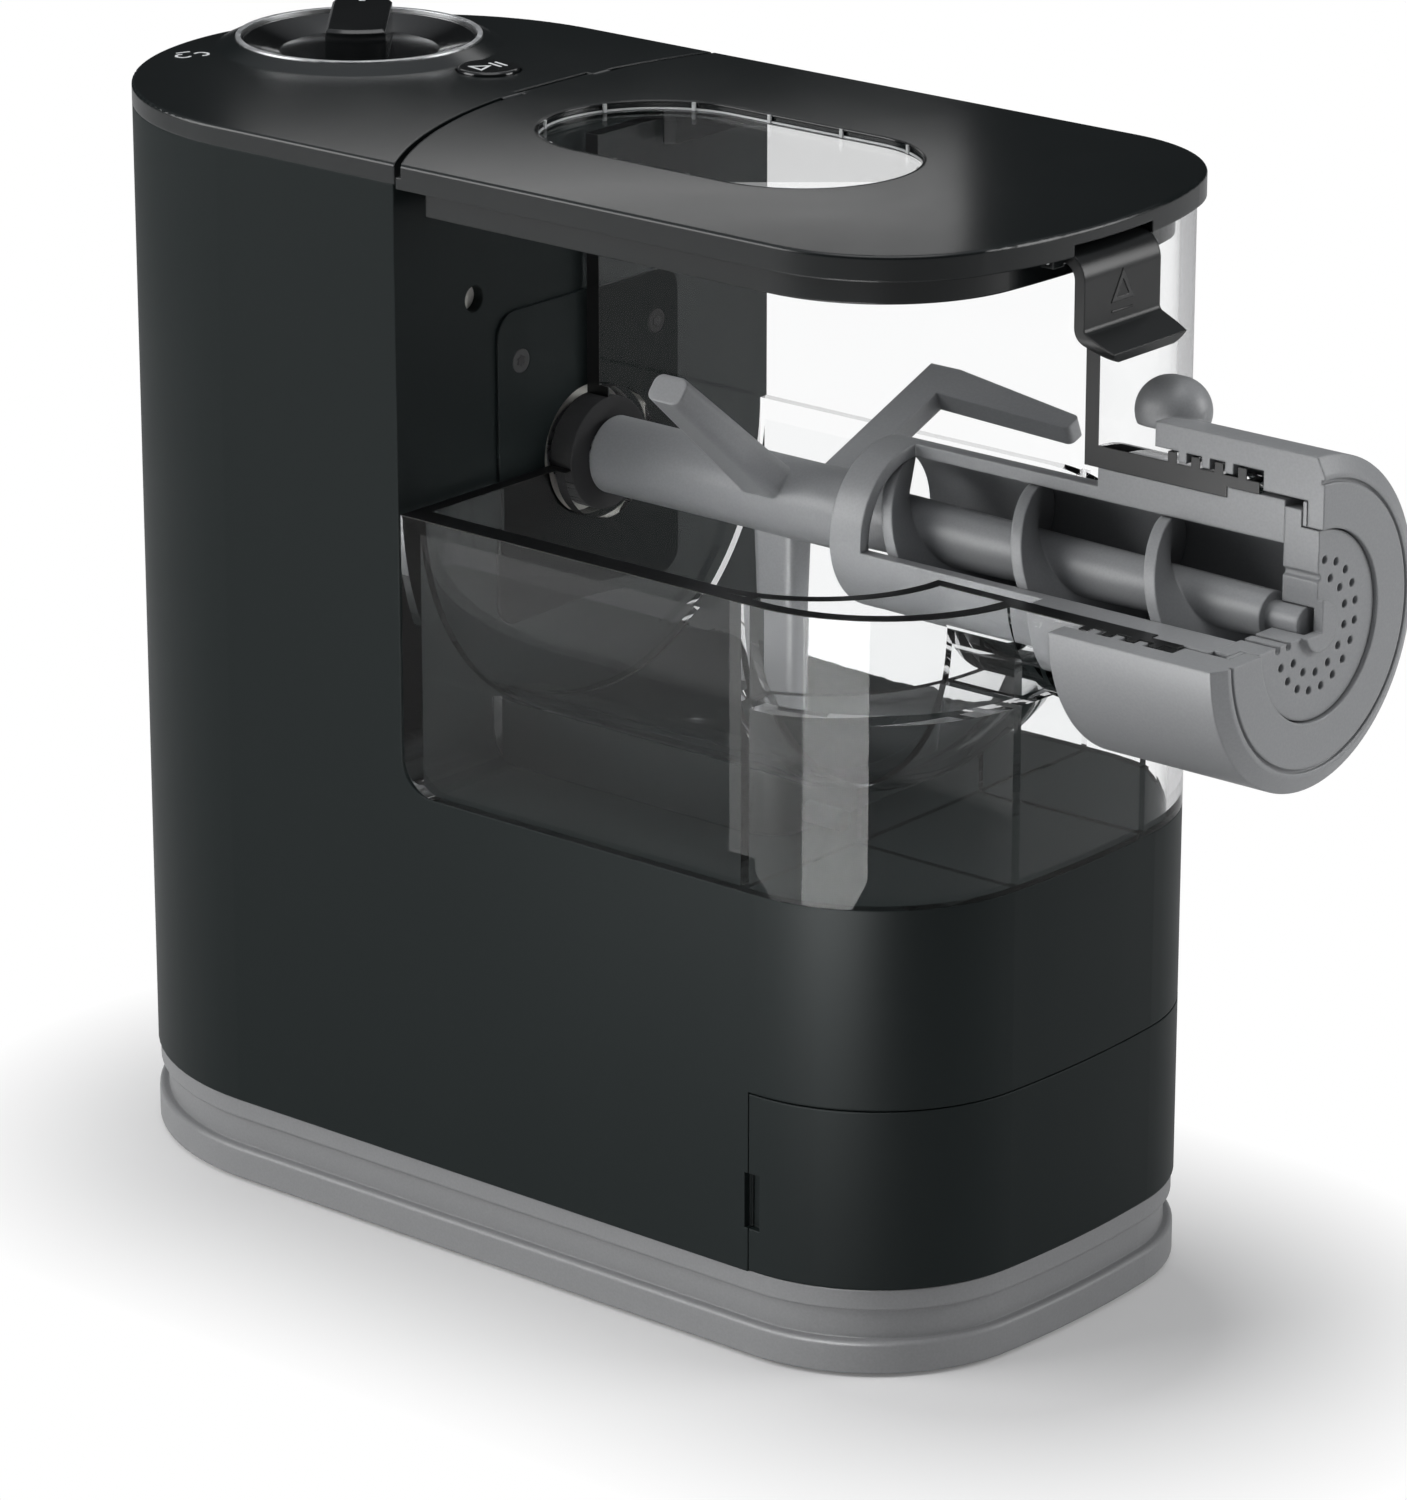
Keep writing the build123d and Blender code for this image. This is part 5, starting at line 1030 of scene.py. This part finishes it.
def studio_world():
    """White to the eye and through the clear plastic, dim as a light.

    Reflections that point low see it nearly dark, so that black tops stay black.
    """
    world = bpy.data.worlds.new("Studio")
    world.use_nodes = True
    tree = world.node_tree
    tree.nodes.clear()
    out = tree.nodes.new("ShaderNodeOutputWorld")
    seen = tree.nodes.new("ShaderNodeBackground")
    seen.inputs["Color"].default_value = (1.0, 1.0, 1.0, 1.0)
    light = tree.nodes.new("ShaderNodeBackground")
    light.inputs["Color"].default_value = (0.93, 0.96, 1.0, 1.0)
    path = tree.nodes.new("ShaderNodeLightPath")
    place = tree.nodes.new("ShaderNodeTexCoord")
    split = tree.nodes.new("ShaderNodeSeparateXYZ")
    tree.links.new(place.outputs["Object"], split.inputs[0])
    ceiling = ramp(tree, split.outputs["Z"], CEILING_START, CEILING_FULL, DARK_LOW, BRIGHT_HIGH)
    glint = maths(tree, "MULTIPLY", ceiling, path.outputs["Is Glossy Ray"])
    fill = ramp(tree, path.outputs["Is Glossy Ray"], 0.0, 1.0, WORLD_FILL, 0.0)
    tree.links.new(maths(tree, "ADD", fill, glint), light.inputs["Strength"])
    shown_as(tree, straight_through(tree, path), light, seen, out)
    return world


class PASTA_OT_stage(bpy.types.Operator):
    """Makes the floor, the lights and the camera"""

    bl_idname = "pasta.stage"
    bl_label = "Stage"

    def execute(self, context):
        bpy.ops.mesh.primitive_plane_add(size=FLOOR_SIZE, location=(0.0, 0.0, CAD_LOW.z))
        floor = bpy.context.object
        floor.name = "studio_floor"
        floor.data.materials.append(floor_finish())
        context.scene.world = studio_world()
        for light in SOFT_BOXES:
            soft_box(*light)
        for card in GLOSS_CARDS:
            soft_box(*card, sheen_only=True)
        self.camera(context)
        context.scene.view_settings.view_transform = "Standard"
        return {"FINISHED"}

    def camera(self, context):
        """Long lens from above the near front corner."""
        data = bpy.data.cameras.new("camera")
        data.sensor_width = CAMERA_SENSOR
        data.lens = CAMERA_LENS
        camera = bpy.data.objects.new("camera", data)
        context.scene.collection.objects.link(camera)
        camera.location = CAMERA_PLACE
        camera.rotation_euler = (math.pi / 2 - CAMERA_DIP, 0.0, CAMERA_SWING)
        context.scene.camera = camera


STEPS = (PASTA_OT_finish_pieces, PASTA_OT_section_paint, PASTA_OT_window_trim, PASTA_OT_dial_marks,
         PASTA_OT_button_mark, PASTA_OT_latch_mark, PASTA_OT_painted_socket_shade, PASTA_OT_stage)


class PASTA_PT_panel(bpy.types.Panel):
    """Lists the sizes, the colours and the steps"""

    bl_idname = "PASTA_PT_panel"
    bl_label = "Pasta maker"
    bl_space_type = "VIEW_3D"
    bl_region_type = "UI"
    bl_category = "Pasta maker"

    def draw(self, context):
        for group in (sizes(), colours()):
            box = self.layout.box()
            for name in group.bl_rna.properties.keys():
                if name not in ("rna_type", "name"):
                    box.prop(group, name)
        for step in STEPS:
            self.layout.operator(step.bl_idname)


CLASSES = (PastaMakerSizes, PastaMakerColours, *STEPS, PASTA_PT_panel)


def register():
    for item in CLASSES:
        bpy.utils.register_class(item)
    bpy.types.Scene.pasta_maker_sizes = PointerProperty(type=PastaMakerSizes)
    bpy.types.Scene.pasta_maker_colours = PointerProperty(type=PastaMakerColours)


def unregister():
    del bpy.types.Scene.pasta_maker_sizes
    del bpy.types.Scene.pasta_maker_colours
    for item in reversed(CLASSES):
        bpy.utils.unregister_class(item)


def main():
    """Dresses the model and builds the stage."""
    register()
    bpy.ops.pasta.finish_pieces()
    bpy.ops.pasta.section_paint()
    bpy.ops.pasta.window_trim()
    bpy.ops.pasta.dial_marks()
    bpy.ops.pasta.button_mark()
    bpy.ops.pasta.latch_mark()
    bpy.ops.pasta.screw_sockets()
    bpy.ops.pasta.stage()


if __name__ == "__main__":
    main()
